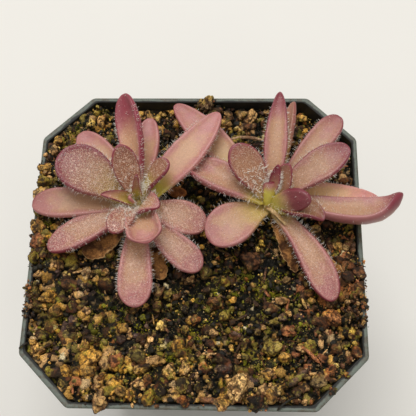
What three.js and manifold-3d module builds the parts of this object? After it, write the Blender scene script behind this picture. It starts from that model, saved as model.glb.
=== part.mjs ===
// A potted butterwort: two rosettes of succulent leaves in a gritty mix, in a square pot with cut corners.
// Millimetres, +Z up. The origin is on the floor under the middle of the pot, and -Y is the front.
import * as THREE from "three";
import { mergeVertices } from "three/addons/utils/BufferGeometryUtils.js";
import Module from "manifold-3d";

const wasm = await Module();
wasm.setup();

// Driving dimensions of the pot
const POT_WIDTH = 80;
const POT_HEIGHT = 72;
const FOOT_WIDTH = 55;
const CORNER_CUT = 12;
const WALL = 1;
const LIP_BAND = 8;
const LIP_STEP = 0.4;
const FLOOR = 1.5;
const DRAIN_RADIUS = 3.6;
const DRAIN_OFFSET = 17;
const DRAIN_SIDES = 16;
const GROOVE_WIDTH = 3;
const GROOVE_DEPTH = 0.5;

// Pieces that touch keep this gap
const GAP = 0.3;

// The mix, with heights counted from the pot's rim
const RIM = POT_HEIGHT;
const MIX_LEVEL = -2;
const BACK_DROP = 1.5;
const MIX_CELLS = 13;
const MIX_RIPPLE = 0.4;
const HEAP_HEIGHT = 2.2;
const HEAP_SPREAD = 5;
const CRUMBLE = 0.8;
const GRIT_COUNT = 155;
const SMALLEST_GRIT = 1.3;
const LARGEST_GRIT = 2.1;
const GRIT_SPACING = 0.8;
const GRIT_BREADTH = 1.6;
const GRIT_LIFT = 0.3;
const GRIT_SQUEEZE = 0.4;
const SEED = 20;

// The largest stones, each as x, y and radius
const STONES = [
  [10.4, -35, 3.8], [-17.6, -35, 2.6], [-36, -26.8, 2.4], [-28.5, -32, 2.5], [-23.6, -28.9, 2.8],
  [-12, -34.4, 1.9], [-9.1, -29.2, 2.3], [-5.4, -31.2, 1.7], [-1.8, -34.5, 2.3], [32.4, -18.2, 2.7],
  [13.6, -4.4, 2.8], [9.7, -22.9, 1.9], [-7.5, -20.6, 1.6], [19.1, -35.5, 2.1], [17.9, -25.4, 2.4],
  [-34.5, -14.1, 2.8], [13.1, 35, 2.2], [-1.8, -30.7, 1.8], [4.9, -14.7, 2], [22.3, -21.6, 1.9],
  [26.7, -25, 1.8], [31, -31.1, 1.9], [-32.3, 29, 2.1], [-25.9, 34, 2], [6.6, 33.4, 2],
];

// What lies over the rim, each lump as x, y and radius, with the mix heaped up to it
const LUMPS = [
  [-38.4, 19, 2], [-38.2, 15, 2.4], [-38.4, 11, 2.6], [-38, 7, 2.5], [-38.4, 3, 2.6], [-38.2, -1, 2.4],
  [-38.6, -4.6, 2], [38.6, -8, 2], [38.4, -11.6, 1.9], [-20.3, -38.3, 2.5], [14.4, -38.3, 2.3],
  [-1.8, -38, 1.7], [1.6, 37.4, 2.6],
];

// The crowns, each a short stem with its root below it
const CROWN_RADIUS = 2.3;
const CROWN_TOP = 5.2;
const ROOT_RADIUS = 1.1;
const ROOT_DEPTH = 13;
const LEFT_CROWN = [-14, 8];
const RIGHT_CROWN = [18, 9];

// Leaves
const LEAF_SIDES = 8;
const LEAF_RINGS = 9;
const HANDLE = 0.36;
const HEEL_RADIUS = 1.5;
const HEEL_ROUND = 0.06;
const EDGE_ROUND = 0.35;

// Each leaf grows from its crown. Angles are degrees and sizes millimetres.
//   aim      compass direction it grows in, from +X towards +Y
//   heel     direction in which its foot stands on the crown, where that isn't its aim
//   reach    distance of its tip from the crown's axis, seen from above
//   tip      height of its tip above the rim, and root the height that it starts at
//   rise     slope where it leaves the crown, and dip the slope at its tip
//   width    widest place, which lies at belly, as a share of the length
//   neck     share of the width at the crown
//   thick    thickness in the middle
//   cup      how far the margins stand up, as a share of the half width
//   turn     turn of the blade about its midrib at the crown, and roll the same at its tip
//   sweep    sideways bow of the midrib, positive to the left, and veer the turn of its tip to the left
//   blunt    2 is a round tip, less is pointed and more is square
const LEAF = {
  root: 2.5, rise: 20, dip: 0, belly: 0.62, neck: 0.5, thick: 2.2, cup: 0.15, blunt: 2.2,
  turn: 0, roll: 0, sweep: 0, veer: 0,
};

const LEFT_LEAVES = [
  { name: "bud", aim: 200, reach: 1.6, tip: 9, root: 5, rise: 80, dip: 80, width: 2.4, thick: 1.2,
    cup: 0.5 },
  { name: "fold_back", aim: 82, reach: 3.6, tip: 13, root: 4.4, rise: 80, dip: 75, width: 2.6, neck: 0.9,
    belly: 0.3, blunt: 1.3, thick: 1.2, cup: 0.9 },
  { name: "fold_west", aim: 184, reach: 8, tip: 10.5, root: 4, rise: 55, dip: 30, width: 3.6, neck: 0.9,
    belly: 0.25, blunt: 1.3, thick: 1.1, cup: 1.1 },
  { name: "fold_east", aim: -31, reach: 7, tip: 10.4, root: 5.4, rise: 45, dip: 8, width: 7.2, neck: 0.95,
    belly: 0.2, blunt: 1.05, thick: 1.5, cup: 0.15 },
  { name: "spade", aim: 110, reach: 11, tip: 15, root: 4, rise: 65, dip: 58, width: 6.4, belly: 0.6,
    thick: 1.7, cup: 0.2 },
  { name: "spoon", aim: 46, reach: 11, tip: 12, root: 4, rise: 62, dip: 25, width: 5.2, neck: 0.28,
    belly: 0.78, thick: 1.6, turn: -45, roll: -15 },
  { name: "furry", aim: -117, reach: 11, tip: 9.5, root: 3.8, rise: 55, dip: 5, width: 5.8, belly: 0.66,
    thick: 1.8 },
  { name: "bowl", aim: -74, reach: 12.8, tip: 9.6, root: 3.2, rise: 50, dip: 14, width: 8.4, neck: 0.8,
    belly: 0.8, blunt: 3, thick: 1.7, cup: 0.4 },
  { name: "round", aim: 152, reach: 21.6, tip: 10, root: 3, rise: 35, dip: 18, width: 11.8, neck: 0.35,
    belly: 0.68 },
  { name: "tall", aim: 98, reach: 25, tip: 14, root: 3, rise: 50, dip: 22, width: 6.9, neck: 0.4,
    belly: 0.7, thick: 2.8, cup: 0.35, turn: -30, roll: -36, sweep: -1.5 },
  { name: "pointer", aim: 50, reach: 30, tip: 8, root: 2.6, rise: 35, dip: 8, width: 8.4, belly: 0.5,
    blunt: 1.8, sweep: -1.8 },
  { name: "back_west", aim: 129, reach: 24.8, tip: 4, root: 1.6, rise: 30, dip: 2, width: 8 },
  { name: "back_pale", aim: 84, reach: 22, tip: 7, root: 1.6, rise: 32, dip: 10, width: 6.5 },
  { name: "west", aim: 179.6, reach: 26, tip: 3, root: 1.4, rise: 18, dip: -6, width: 8, belly: 0.7 },
  { name: "south_west", aim: -152, reach: 24, tip: 2, root: 1.6, rise: 16, dip: -8, width: 7.6, thick: 2.6,
    roll: 8 },
  { name: "south", aim: -89, reach: 25.3, tip: 2, root: 1.2, rise: 18, dip: -10, width: 8.3, belly: 0.78,
    blunt: 2.2 },
  { name: "south_east", aim: -45.5, reach: 22.2, tip: 2, root: 1.2, rise: 16, dip: -8, width: 7.3,
    belly: 0.74, blunt: 2.4, sweep: -1.2 },
  { name: "east", aim: -16, reach: 17.3, tip: 1.6, root: 1.6, rise: 18, dip: -12, width: 8.6 },
];

const LEFT_DRY = [
  { name: "stalk", aim: -59, reach: 12.2, tip: 0.6, root: 0.4, rise: 10, dip: 0, width: 1.4, neck: 0.9,
    thick: 0.8 },
  { name: "west", aim: -137, reach: 17.5, tip: -0.5, root: 0.2, rise: 4, dip: -4, width: 7, blunt: 3,
    thick: 0.7 },
  { name: "south", aim: -70, reach: 18.8, tip: -0.6, root: 0, rise: 2, dip: -3, width: 4.6, blunt: 3,
    thick: 0.7 },
];

const RIGHT_LEAVES = [
  { name: "bud", aim: -85, heel: -120, reach: -2.6, tip: 9, root: 2.6, rise: 88, dip: 122, width: 3.4,
    blunt: 4, thick: 1.1, cup: 0.6 },
  { name: "fold_back", aim: 75, reach: 6, tip: 12, root: 4.4, rise: 70, dip: 62, width: 2.8, blunt: 1.4,
    thick: 1.2, cup: 0.8 },
  { name: "blade", aim: 54, reach: 7, tip: 12.5, root: 4.2, rise: 72, dip: 62, width: 6.4, belly: 0.4,
    blunt: 1.3, thick: 1.3, cup: 0.3 },
  { name: "hook", aim: -22, heel: -110, reach: 9.6, tip: 12, root: 2, rise: 55, dip: 14, width: 5.8,
    neck: 0.8, belly: 0.6, thick: 1.7, cup: 0.3, turn: -125, roll: -130 },
  { name: "dark", aim: 131, reach: 14, tip: 12.5, root: 3.8, rise: 52, dip: 38, width: 8.2, thick: 1.9 },
  { name: "fold_east", aim: -31, reach: 13.8, tip: 9, root: 3.4, rise: 38, dip: 22, width: 6.2, belly: 0.5,
    blunt: 1.3, thick: 1.8, cup: 0.3, roll: -20, veer: -30 },
  { name: "crest", aim: 32, reach: 21.8, tip: 10, root: 3.2, rise: 38, dip: 16, width: 8.2, belly: 0.66,
    blunt: 1.9 },
  { name: "spire", aim: 85, reach: 25, tip: 13, root: 3.2, rise: 52, dip: 28, width: 5.8, belly: 0.5,
    blunt: 1.5, cup: 0.3 },
  { name: "gutter", aim: 157, reach: 22, tip: 5, root: 3, rise: 26, dip: 8, width: 8.8, blunt: 2.6,
    thick: 3, cup: 0.5, roll: 26, sweep: 0.8 },
  { name: "horn", aim: 1, reach: 30.6, tip: 8, root: 2.6, rise: 8, dip: 38, width: 8.8, thick: 3, cup: 0.45,
    turn: -20, roll: -42, sweep: -1.6, veer: 58 },
  { name: "back_east", aim: 52, reach: 28, tip: 6, root: 2, rise: 30, dip: 4, width: 6.6, belly: 0.7,
    blunt: 3 },
  { name: "back_edge", aim: 77, reach: 27, tip: 6, root: 1.6, rise: 30, dip: 10, width: 4.4, roll: -50 },
  { name: "long", aim: 131, reach: 37, tip: 1.6, root: 1.4, rise: 12, dip: -4, width: 8, blunt: 1.6 },
  { name: "east", aim: 4, reach: 26.4, tip: 2, root: 1.2, rise: 14, dip: -4, width: 7.8, belly: 0.35,
    blunt: 1.2, sweep: 1 },
  { name: "south_east", aim: -59, reach: 28, tip: 1.2, root: 1.4, rise: 14, dip: -8, width: 7.2,
    belly: 0.72, thick: 2.8, roll: 12, sweep: 1.6 },
  { name: "south_west", aim: -145.5, reach: 17.9, tip: 3.6, root: 1.6, rise: 24, dip: -14, width: 10.8,
    neck: 0.4 },
];

const RIGHT_DRY = [
  { name: "stalk", aim: -62, heel: -123, reach: 7.2, tip: 4, root: 3.4, rise: 25, dip: -20, width: 1,
    neck: 0.9, thick: 0.9 },
  { name: "long", aim: -70, reach: 17.6, tip: -0.4, root: 0.2, rise: 4, dip: -6, width: 4, blunt: 1.6,
    thick: 0.7, cup: 0.4 },
  { name: "edge", aim: -51.5, reach: 29, tip: -0.4, root: 0, rise: 2, dip: -2, width: 6.6, blunt: 3,
    thick: 0.7 },
];

// A fallen twig, and a chip of bark with its length, width and thickness
const TWIG = [[7.5, 28.2, -1.6], [10, 29, -1.2], [13.5, 28.9, -1.1], [17, 28.2, -1.5]];
const TWIG_RADIUS = 0.4;
const TWIG_SIDES = 6;
const TWIG_STEPS = 8;
const CHIP = [4.8, 3, 1];
const CHIP_PLACE = [-5, 13.3, -0.9];
const CHIP_TILT = 12;

const colours = {
  pot: new THREE.MeshStandardMaterial({ color: 0x35463f, roughness: 0.55, metalness: 0 }),
  mix: new THREE.MeshStandardMaterial({ color: 0x5a4328, roughness: 0.95, metalness: 0 }),
  crown: new THREE.MeshStandardMaterial({ color: 0x9a9440, roughness: 0.6, metalness: 0 }),
  leaf: new THREE.MeshStandardMaterial({ color: 0xb5827a, roughness: 0.5, metalness: 0 }),
  dry: new THREE.MeshStandardMaterial({ color: 0xa8773f, roughness: 0.85, metalness: 0 }),
  bark: new THREE.MeshStandardMaterial({ color: 0xa0642c, roughness: 0.8, metalness: 0 }),
};

const radians = THREE.MathUtils.degToRad;
const smoothstep = THREE.MathUtils.smoothstep;

// A repeatable draw from 0 to 1
function drawer(seed) {
  let state = seed;
  return () => {
    state = (state * 1664525 + 1013904223) % 4294967296;
    return state / 4294967296;
  };
}

// A closed three.js geometry as a solid that can be joined and cut
function solid(geometry) {
  const bare = geometry.clone();
  bare.deleteAttribute("normal");
  bare.deleteAttribute("uv");
  const merged = mergeVertices(bare, 1e-4);
  return new wasm.Manifold(
    new wasm.Mesh({
      numProp: 3,
      vertProperties: new Float32Array(merged.attributes.position.array),
      triVerts: new Uint32Array(merged.index.array),
    }),
  );
}

// A solid as a named mesh; where cutting left scraps, only the largest body is kept
function piece(name, body, material) {
  const largest = body.decompose().reduce((a, b) => (a.volume() > b.volume() ? a : b));
  const mesh = largest.getMesh();
  const geometry = new THREE.BufferGeometry();
  geometry.setAttribute("position", new THREE.BufferAttribute(mesh.vertProperties, 3));
  geometry.setIndex(new THREE.BufferAttribute(mesh.triVerts, 1));
  geometry.computeVertexNormals();
  const made = new THREE.Mesh(geometry, material);
  made.name = name;
  return made;
}

// The corners of a square with cut corners, anticlockwise from above
function octagon(width, cut, z) {
  const half = width / 2;
  const near = half - cut;
  return [
    [half, -near], [half, near], [near, half], [-near, half],
    [-half, near], [-half, -near], [-near, -half], [near, -half],
  ].map(([x, y]) => new THREE.Vector3(x, y, z));
}

// A closed solid through rings of equal corner counts, from the lowest ring up
function loft(rings) {
  const sides = rings[0].length;
  const corners = rings.flat();
  const faces = [];
  for (let ring = 0; ring + 1 < rings.length; ring++) {
    for (let side = 0; side < sides; side++) {
      const a = ring * sides + side;
      const b = ring * sides + ((side + 1) % sides);
      faces.push(a, b, b + sides, a, b + sides, a + sides);
    }
  }
  const top = (rings.length - 1) * sides;
  for (let side = 1; side + 1 < sides; side++) {
    faces.push(0, side + 1, side, top, top + side, top + side + 1);
  }
  const geometry = new THREE.BufferGeometry().setFromPoints(corners);
  geometry.setIndex(faces);
  return solid(geometry);
}

// Width of the pot's tapered body at a height above the floor
function bodyWidth(z) {
  const top = POT_WIDTH - 2 * LIP_STEP;
  return FOOT_WIDTH + (top - FOOT_WIDTH) * (z / POT_HEIGHT);
}

// A ring of the pot's outline, inset from its outside; the cut corners shrink with the pot
function potRing(width, inset, z) {
  const cut = (CORNER_CUT * width) / POT_WIDTH;
  return octagon(width - 2 * inset, cut - inset * (2 - Math.SQRT2), z);
}

// The pot's form inset all round: a tapered body, and the lip's band that stands out from it
function potForm(inset, floor, top) {
  const band = POT_HEIGHT - LIP_BAND;
  return loft([
    potRing(bodyWidth(floor), inset, floor),
    potRing(bodyWidth(band), inset, band),
    potRing(bodyWidth(band) + 2 * LIP_STEP, inset, band + LIP_STEP),
    potRing(POT_WIDTH, inset, POT_HEIGHT),
    potRing(POT_WIDTH, inset, top),
  ]);
}

function makePot() {
  const lip = 2 * LIP_STEP;
  const outside = potForm(0, 0, POT_HEIGHT + lip);
  const over = new THREE.BoxGeometry(2 * POT_WIDTH, 2 * POT_WIDTH, 2 * lip);
  over.translate(0, 0, POT_HEIGHT + lip);
  let pot = outside.subtract(solid(over)).subtract(potForm(WALL + LIP_STEP, FLOOR, POT_HEIGHT + 1));
  for (const x of [-DRAIN_OFFSET, DRAIN_OFFSET]) {
    for (const y of [-DRAIN_OFFSET, DRAIN_OFFSET]) {
      const drain = new THREE.CylinderGeometry(DRAIN_RADIUS, DRAIN_RADIUS, 4 * FLOOR, DRAIN_SIDES);
      drain.rotateX(Math.PI / 2);
      drain.translate(x, y, 0);
      pot = pot.subtract(solid(drain));
      const groove = new THREE.BoxGeometry(FOOT_WIDTH, GROOVE_WIDTH, 2 * GROOVE_DEPTH);
      groove.translate(FOOT_WIDTH / 2, 0, 0);
      groove.rotateZ(Math.atan2(y, x));
      groove.translate(x, y, 0);
      pot = pot.subtract(solid(groove));
    }
  }
  return pot;
}

// Height of the bare mix at a place, counted from the rim: lower at the back, heaped where it overflows
function mixHeight(x, y) {
  const half = POT_WIDTH / 2;
  const backward = smoothstep(y, 0.3 * half, 0.95 * half);
  const ripple = Math.sin(x * 0.31 + 1) * Math.cos(y * 0.27) + 0.6 * Math.sin(x * 0.62 - y * 0.53);
  const nearest = Math.min(...LUMPS.map(([u, v]) => Math.hypot(x - u, y - v)));
  const heap = Math.exp(-((nearest / HEAP_SPREAD) ** 2));
  return MIX_LEVEL - BACK_DROP * backward * (1 - heap) + MIX_RIPPLE * ripple + HEAP_HEIGHT * heap;
}

// The crumbled surface between the stones: from -0.5 to 0.5, and always the same for the same place
function crumb(x, y) {
  const scatter = Math.sin(x * 12.9898 + y * 78.233) * 43758.5453;
  return scatter - Math.floor(scatter) - 0.5;
}

// A rough stone of the mix, squeezed, turned and set by the draw: the large ones are rounder than the small
function gritStone(draw, large, size, x, y, z) {
  const edge = GRIT_BREADTH * size;
  const stone = large ? new THREE.IcosahedronGeometry(size, 0) : new THREE.BoxGeometry(edge, edge, edge);
  const squeeze = () => 1 - GRIT_SQUEEZE * draw();
  stone.scale(squeeze(), squeeze(), squeeze());
  stone.rotateX((draw() - 0.5) * Math.PI);
  stone.rotateY((draw() - 0.5) * Math.PI);
  stone.rotateZ(2 * draw() * Math.PI);
  stone.translate(x, y, RIM + z);
  return solid(stone);
}

// The stones: the largest where they lie, then smaller ones drawn into the places left between them
function makeStones() {
  const draw = drawer(SEED);
  const placed = STONES.map(([x, y, size]) => ({ x, y, size, large: true }));
  const inner = POT_WIDTH / 2 - WALL;
  const corner = 2 * inner - CORNER_CUT;
  while (placed.length < GRIT_COUNT) {
    const size = SMALLEST_GRIT + (LARGEST_GRIT - SMALLEST_GRIT) * draw() ** 2;
    const x = (2 * draw() - 1) * (inner - size);
    const y = (2 * draw() - 1) * (inner - size);
    const near = (other) => Math.hypot(other.x - x, other.y - y) < GRIT_SPACING * (other.size + size);
    if (Math.abs(x) + Math.abs(y) > corner - Math.SQRT2 * size || placed.some(near)) continue;
    placed.push({ x, y, size, large: false });
  }
  const seat = (x, y, size) => mixHeight(x, y) + GRIT_LIFT * size;
  const stones = placed.map(({ x, y, size, large }) => gritStone(draw, large, size, x, y, seat(x, y, size)));
  return stones.concat(LUMPS.map(([x, y, size]) => gritStone(draw, true, size, x, y, GRIT_LIFT * size)));
}

// The mix: soil up to its rippled surface with the stones fused in, and nothing inside the pot's wall
function makeMix(taken) {
  const span = POT_WIDTH + 4;
  const depth = 20;
  const air = new THREE.BoxGeometry(span, span, depth, MIX_CELLS, MIX_CELLS, 1);
  const place = air.attributes.position;
  for (let i = 0; i < place.count; i++) {
    const surface = mixHeight(place.getX(i), place.getY(i)) + CRUMBLE * crumb(place.getX(i), place.getY(i));
    place.setZ(i, place.getZ(i) < 0 ? RIM + surface : RIM + depth);
  }
  const inset = WALL + LIP_STEP + GAP;
  const soil = potForm(inset, FLOOR + GAP, RIM + depth / 2).subtract(solid(air));
  const over = new THREE.BoxGeometry(POT_WIDTH, POT_WIDTH, depth);
  over.translate(0, 0, RIM + GAP + depth / 2);
  const room = potForm(inset, FLOOR + GAP, RIM + depth / 2).add(solid(over));
  return wasm.Manifold.union([soil, ...makeStones()]).intersect(room).subtract(wasm.Manifold.union(taken));
}

// A crown and its root, as one turned shape; grown makes it larger all round
function makeCrown([x, y], grown = 0) {
  const profile = [
    [0, -ROOT_DEPTH - grown],
    [0.5 + grown, -ROOT_DEPTH - grown],
    [ROOT_RADIUS + grown, -ROOT_DEPTH + 3],
    [ROOT_RADIUS + grown, -5],
    [CROWN_RADIUS + grown, -1],
    [CROWN_RADIUS + grown, 2.5],
    [0.75 * CROWN_RADIUS + grown, CROWN_TOP - 0.8],
    [0, CROWN_TOP + grown],
  ].map(([r, z]) => new THREE.Vector2(r, z));
  const crown = new THREE.LatheGeometry(profile, 12);
  crown.rotateX(Math.PI / 2);
  crown.translate(x, y, RIM);
  return solid(crown);
}

// Half the leaf's width at a share of its length
function halfWidth(leaf, t) {
  const opening = leaf.neck + (1 - leaf.neck) * smoothstep(t, 0, leaf.belly);
  const beyond = Math.max(0, (t - leaf.belly) / (1 - leaf.belly));
  const foot = Math.min(1, t / HEEL_ROUND);
  return (leaf.width / 2) * opening * Math.sqrt(1 - beyond ** leaf.blunt) * Math.sqrt(foot * (2 - foot));
}

// The leaf's midrib, from its foot on the crown to its tip
function midrib(leaf, [x, y]) {
  const aim = radians(leaf.aim);
  const heel = radians(leaf.heel ?? leaf.aim);
  const out = new THREE.Vector3(Math.cos(aim), Math.sin(aim), 0);
  const left = new THREE.Vector3(-Math.sin(aim), Math.cos(aim), 0);
  const axis = new THREE.Vector3(x, y, RIM);
  const foot = new THREE.Vector3(Math.cos(heel), Math.sin(heel), 0);
  const root = axis.clone().addScaledVector(foot, HEEL_RADIUS);
  root.z += leaf.root;
  const tip = axis.clone().addScaledVector(out, leaf.reach);
  tip.z += leaf.tip;
  const hold = HANDLE * root.distanceTo(tip);
  const handle = (way, slope) =>
    way.clone().multiplyScalar(Math.cos(radians(slope)) * hold).setZ(Math.sin(radians(slope)) * hold);
  const onward = out.clone().multiplyScalar(Math.cos(radians(leaf.veer)));
  onward.addScaledVector(left, Math.sin(radians(leaf.veer)));
  const first = root.clone().add(handle(out, leaf.rise)).addScaledVector(left, leaf.sweep);
  const second = tip.clone().sub(handle(onward, leaf.dip)).addScaledVector(left, leaf.sweep);
  return { curve: new THREE.CubicBezierCurve3(root, first, second, tip), left };
}

// A leaf as a sphere drawn out along its midrib and pressed to its section; grown makes it larger all round
function makeLeaf(given, crown, grown = 0) {
  const leaf = { ...LEAF, ...given };
  const { curve, left } = midrib(leaf, crown);
  const blade = new THREE.SphereGeometry(1, LEAF_SIDES, LEAF_RINGS);
  const place = blade.attributes.position;
  for (let i = 0; i < place.count; i++) {
    const t = (1 - place.getY(i)) / 2;
    const ring = Math.hypot(place.getX(i), place.getZ(i));
    const atEnd = ring < 1e-6;
    const across = atEnd ? 0 : place.getX(i) / ring;
    const lift = atEnd ? 0 : place.getZ(i) / ring;
    const tangent = curve.getTangent(t);
    const side = left.clone().addScaledVector(tangent, -tangent.dot(left)).normalize();
    side.applyAxisAngle(tangent, radians(leaf.turn + (leaf.roll - leaf.turn) * t));
    const up = tangent.clone().cross(side);
    const half = halfWidth(leaf, t) + (atEnd ? 0 : grown);
    const thick = (leaf.thick / 2) * (4 * t * (1 - t)) ** EDGE_ROUND + (atEnd ? 0 : grown);
    const point = curve.getPoint(t);
    point.addScaledVector(side, half * across);
    point.addScaledVector(up, thick * lift + leaf.cup * half * across * across);
    if (atEnd) point.addScaledVector(tangent, t > 0.5 ? grown : -grown);
    place.setXYZ(i, point.x, point.y, point.z);
  }
  const made = solid(blade);
  if (made.volume() > 0) return made;
  throw new Error(leaf.name + " is inside out");
}

function makeTwig(grown = 0) {
  const path = new THREE.CatmullRomCurve3(TWIG.map(([x, y, z]) => new THREE.Vector3(x, y, RIM + z)));
  const section = new THREE.Shape();
  for (let side = 0; side < TWIG_SIDES; side++) {
    const angle = (2 * Math.PI * side) / TWIG_SIDES;
    const corner = [(TWIG_RADIUS + grown) * Math.cos(angle), (TWIG_RADIUS + grown) * Math.sin(angle)];
    if (side === 0) section.moveTo(...corner);
    else section.lineTo(...corner);
  }
  return solid(new THREE.ExtrudeGeometry(section, { extrudePath: path, steps: TWIG_STEPS }));
}

function makeChip(grown = 0) {
  const chip = new THREE.SphereGeometry(1, 10, 6);
  chip.scale(CHIP[0] / 2 + grown, CHIP[2] / 2 + grown, CHIP[1] / 2 + grown);
  chip.rotateX(Math.PI / 2);
  chip.rotateY(radians(CHIP_TILT));
  chip.translate(CHIP_PLACE[0], CHIP_PLACE[1], RIM + CHIP_PLACE[2]);
  return solid(chip);
}

const plant = new THREE.Group();
const rosettes = [
  ["left", LEFT_CROWN, LEFT_LEAVES, LEFT_DRY],
  ["right", RIGHT_CROWN, RIGHT_LEAVES, RIGHT_DRY],
];

// Each piece gives way to what is already there, so the crowns come first and the mix last
const taken = [];
function grow(name, make, material) {
  const body = taken.length > 0 ? make(0).subtract(wasm.Manifold.union(taken)) : make(0);
  plant.add(piece(name, body, material));
  taken.push(make(GAP));
}
for (const [side, crown] of rosettes) {
  grow(side + "_crown", (grown) => makeCrown(crown, grown), colours.crown);
}
for (const [side, crown, leaves] of rosettes) {
  for (const leaf of leaves) {
    grow(side + "_leaf_" + leaf.name, (grown) => makeLeaf(leaf, crown, grown), colours.leaf);
  }
}
for (const [side, crown, , dry] of rosettes) {
  for (const leaf of dry) {
    grow(side + "_dry_" + leaf.name, (grown) => makeLeaf(leaf, crown, grown), colours.dry);
  }
}
grow("twig", makeTwig, colours.dry);
grow("bark_chip", makeChip, colours.bark);
plant.add(piece("mix", makeMix(taken), colours.mix));
plant.add(piece("pot", makePot(), colours.pot));

export default plant;
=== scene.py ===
"""Dresses the potted butterwort: fine leaves with their hairs, a crumbly mix with moss, and the pot.

Shapes are worked out in millimetres with heights from the floor, and reach the meshes in metres.
"""

import math
from random import Random

import bmesh
import bpy
import numpy as np
from bpy.props import FloatProperty, FloatVectorProperty, IntProperty, PointerProperty
from mathutils import Matrix, Vector, noise


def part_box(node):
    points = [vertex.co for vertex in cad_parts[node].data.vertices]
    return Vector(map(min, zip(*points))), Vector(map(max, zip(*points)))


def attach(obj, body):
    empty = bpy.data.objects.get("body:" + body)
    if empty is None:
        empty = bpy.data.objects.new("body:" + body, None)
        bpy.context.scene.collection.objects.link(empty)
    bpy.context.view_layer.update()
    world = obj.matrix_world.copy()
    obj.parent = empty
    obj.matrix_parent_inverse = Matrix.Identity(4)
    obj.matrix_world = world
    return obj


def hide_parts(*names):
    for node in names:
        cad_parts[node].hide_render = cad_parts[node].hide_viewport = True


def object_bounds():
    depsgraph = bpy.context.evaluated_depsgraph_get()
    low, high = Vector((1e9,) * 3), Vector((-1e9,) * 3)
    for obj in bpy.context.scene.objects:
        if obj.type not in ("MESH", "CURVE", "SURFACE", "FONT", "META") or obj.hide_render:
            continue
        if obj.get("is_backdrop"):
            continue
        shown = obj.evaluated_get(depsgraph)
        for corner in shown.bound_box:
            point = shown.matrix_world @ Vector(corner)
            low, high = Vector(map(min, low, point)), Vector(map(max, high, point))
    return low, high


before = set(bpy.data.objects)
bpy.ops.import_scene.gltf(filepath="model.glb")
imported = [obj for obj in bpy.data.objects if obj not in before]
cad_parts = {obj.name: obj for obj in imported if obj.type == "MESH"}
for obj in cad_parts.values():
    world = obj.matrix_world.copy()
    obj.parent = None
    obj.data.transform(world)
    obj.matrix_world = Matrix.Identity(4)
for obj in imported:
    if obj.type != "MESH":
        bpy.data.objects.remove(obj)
CAD_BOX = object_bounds()

bl_info = {
    "name": "Potted butterwort",
    "version": (1, 0, 0),
    "blender": (4, 5, 0),
    "location": "3D View > Sidebar > Butterwort",
    "description": "Builds the leaves, hairs, mix and pot of a butterwort around its CAD frame",
    "category": "Object",
}

MM = 0.001

# The pot and the mix in it, in millimetres. The mix stands on FLOOR_TOP, where half its width is FOOT_HALF,
# and ends at MIX_LEVEL, counted from the rim, with ripples, a drop at the back, and heaps round the lumps.
# At a cut corner x and y together come to CORNER_REACH times the half width
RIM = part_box("pot")[1].z / MM
POT_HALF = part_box("pot")[1].x / MM
CORNER_CUT = 12
CORNER_REACH = 1.7
WALL = 1.0
LIP_STEP = 0.4
FLOOR_TOP = 1.8
FOOT_HALF = 26.1
SOIL_GAP = 0.2
SOIL_HALF = POT_HALF - WALL - LIP_STEP - SOIL_GAP
MIX_LEVEL = -2
BACK_DROP = 1.5
MIX_RIPPLE = 0.4
HEAP_HEIGHT = 2.2
HEAP_SPREAD = 5

# The drawn stones of the CAD mix, which the fine stones follow one by one. They lie GRIT_SPACING of their
# radii apart or more, and each is squeezed by up to GRIT_SQUEEZE along each way
GRIT_COUNT = 155
SMALLEST_GRIT = 1.3
LARGEST_GRIT = 2.1
GRIT_SPACING = 0.8
GRIT_BREADTH = 1.6
GRIT_LIFT = 0.3
GRIT_SQUEEZE = 0.4
SEED = 20

# Radii of the loose stones and grains, and heights of the tufts of moss: smallest and largest
RUBBLE_SIZE = (0.9, 2.5)
GRAVEL_SIZE = (0.4, 1.05)
GRIT_SIZE = (0.14, 0.45)
TUFT_SIZE = (0.35, 0.8)

# Every leaf: how far out it starts, its curve's handles as shares of its length, and how its ends round off
HEEL_RADIUS = 1.5
HANDLE = 0.36
HEEL_ROUND = 0.06
EDGE_ROUND = 0.35


def colour(red, green, blue):
    """A colour given as 0 to 255, as Blender's linear values with full alpha."""
    shares = [value / 255 for value in (red, green, blue)]
    linear = [((share + 0.055) / 1.055) ** 2.4 if share > 0.04 else share / 12.92 for share in shares]
    return (*linear, 1.0)


# Colours of the grains and stones
PEAT = colour(29, 27, 16)
UMBER = colour(74, 50, 32)
BROWN = colour(126, 86, 56)
RUST = colour(172, 110, 70)
TAN = colour(214, 172, 116)
GOLD = colour(214, 166, 84)
OLIVE = colour(150, 134, 66)
LEAF_GREEN = colour(158, 160, 44)
PALE = colour(206, 176, 130)
PLUM = colour(98, 76, 70)
QUARTZ = colour(250, 234, 190)
CREAM = colour(246, 206, 146)
CLAY = colour(212, 146, 92)
FLAKE = colour(250, 216, 126)

# The largest stones: x, y and radius as in the CAD mix, then the colour
STONES = [
    (10.4, -35, 3.8, CREAM), (-17.6, -35, 2.6, GOLD), (-36, -26.8, 2.4, TAN), (-28.5, -32, 2.5, GOLD),
    (-23.6, -28.9, 2.8, GOLD), (-12, -34.4, 1.9, TAN), (-9.1, -29.2, 2.3, TAN), (-5.4, -31.2, 1.7, TAN),
    (-1.8, -34.5, 2.3, OLIVE), (32.4, -18.2, 2.7, CLAY), (13.6, -4.4, 2.8, BROWN), (9.7, -22.9, 1.9, PLUM),
    (-7.5, -20.6, 1.6, FLAKE), (19.1, -35.5, 2.1, PALE), (17.9, -25.4, 2.4, OLIVE),
    (-34.5, -14.1, 2.8, GOLD), (13.1, 35, 2.2, TAN), (-1.8, -30.7, 1.8, TAN), (4.9, -14.7, 2, BROWN),
    (22.3, -21.6, 1.9, RUST), (26.7, -25, 1.8, OLIVE), (31, -31.1, 1.9, RUST), (-32.3, 29, 2.1, TAN),
    (-25.9, 34, 2, TAN), (6.6, 33.4, 2, TAN),
]

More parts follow.
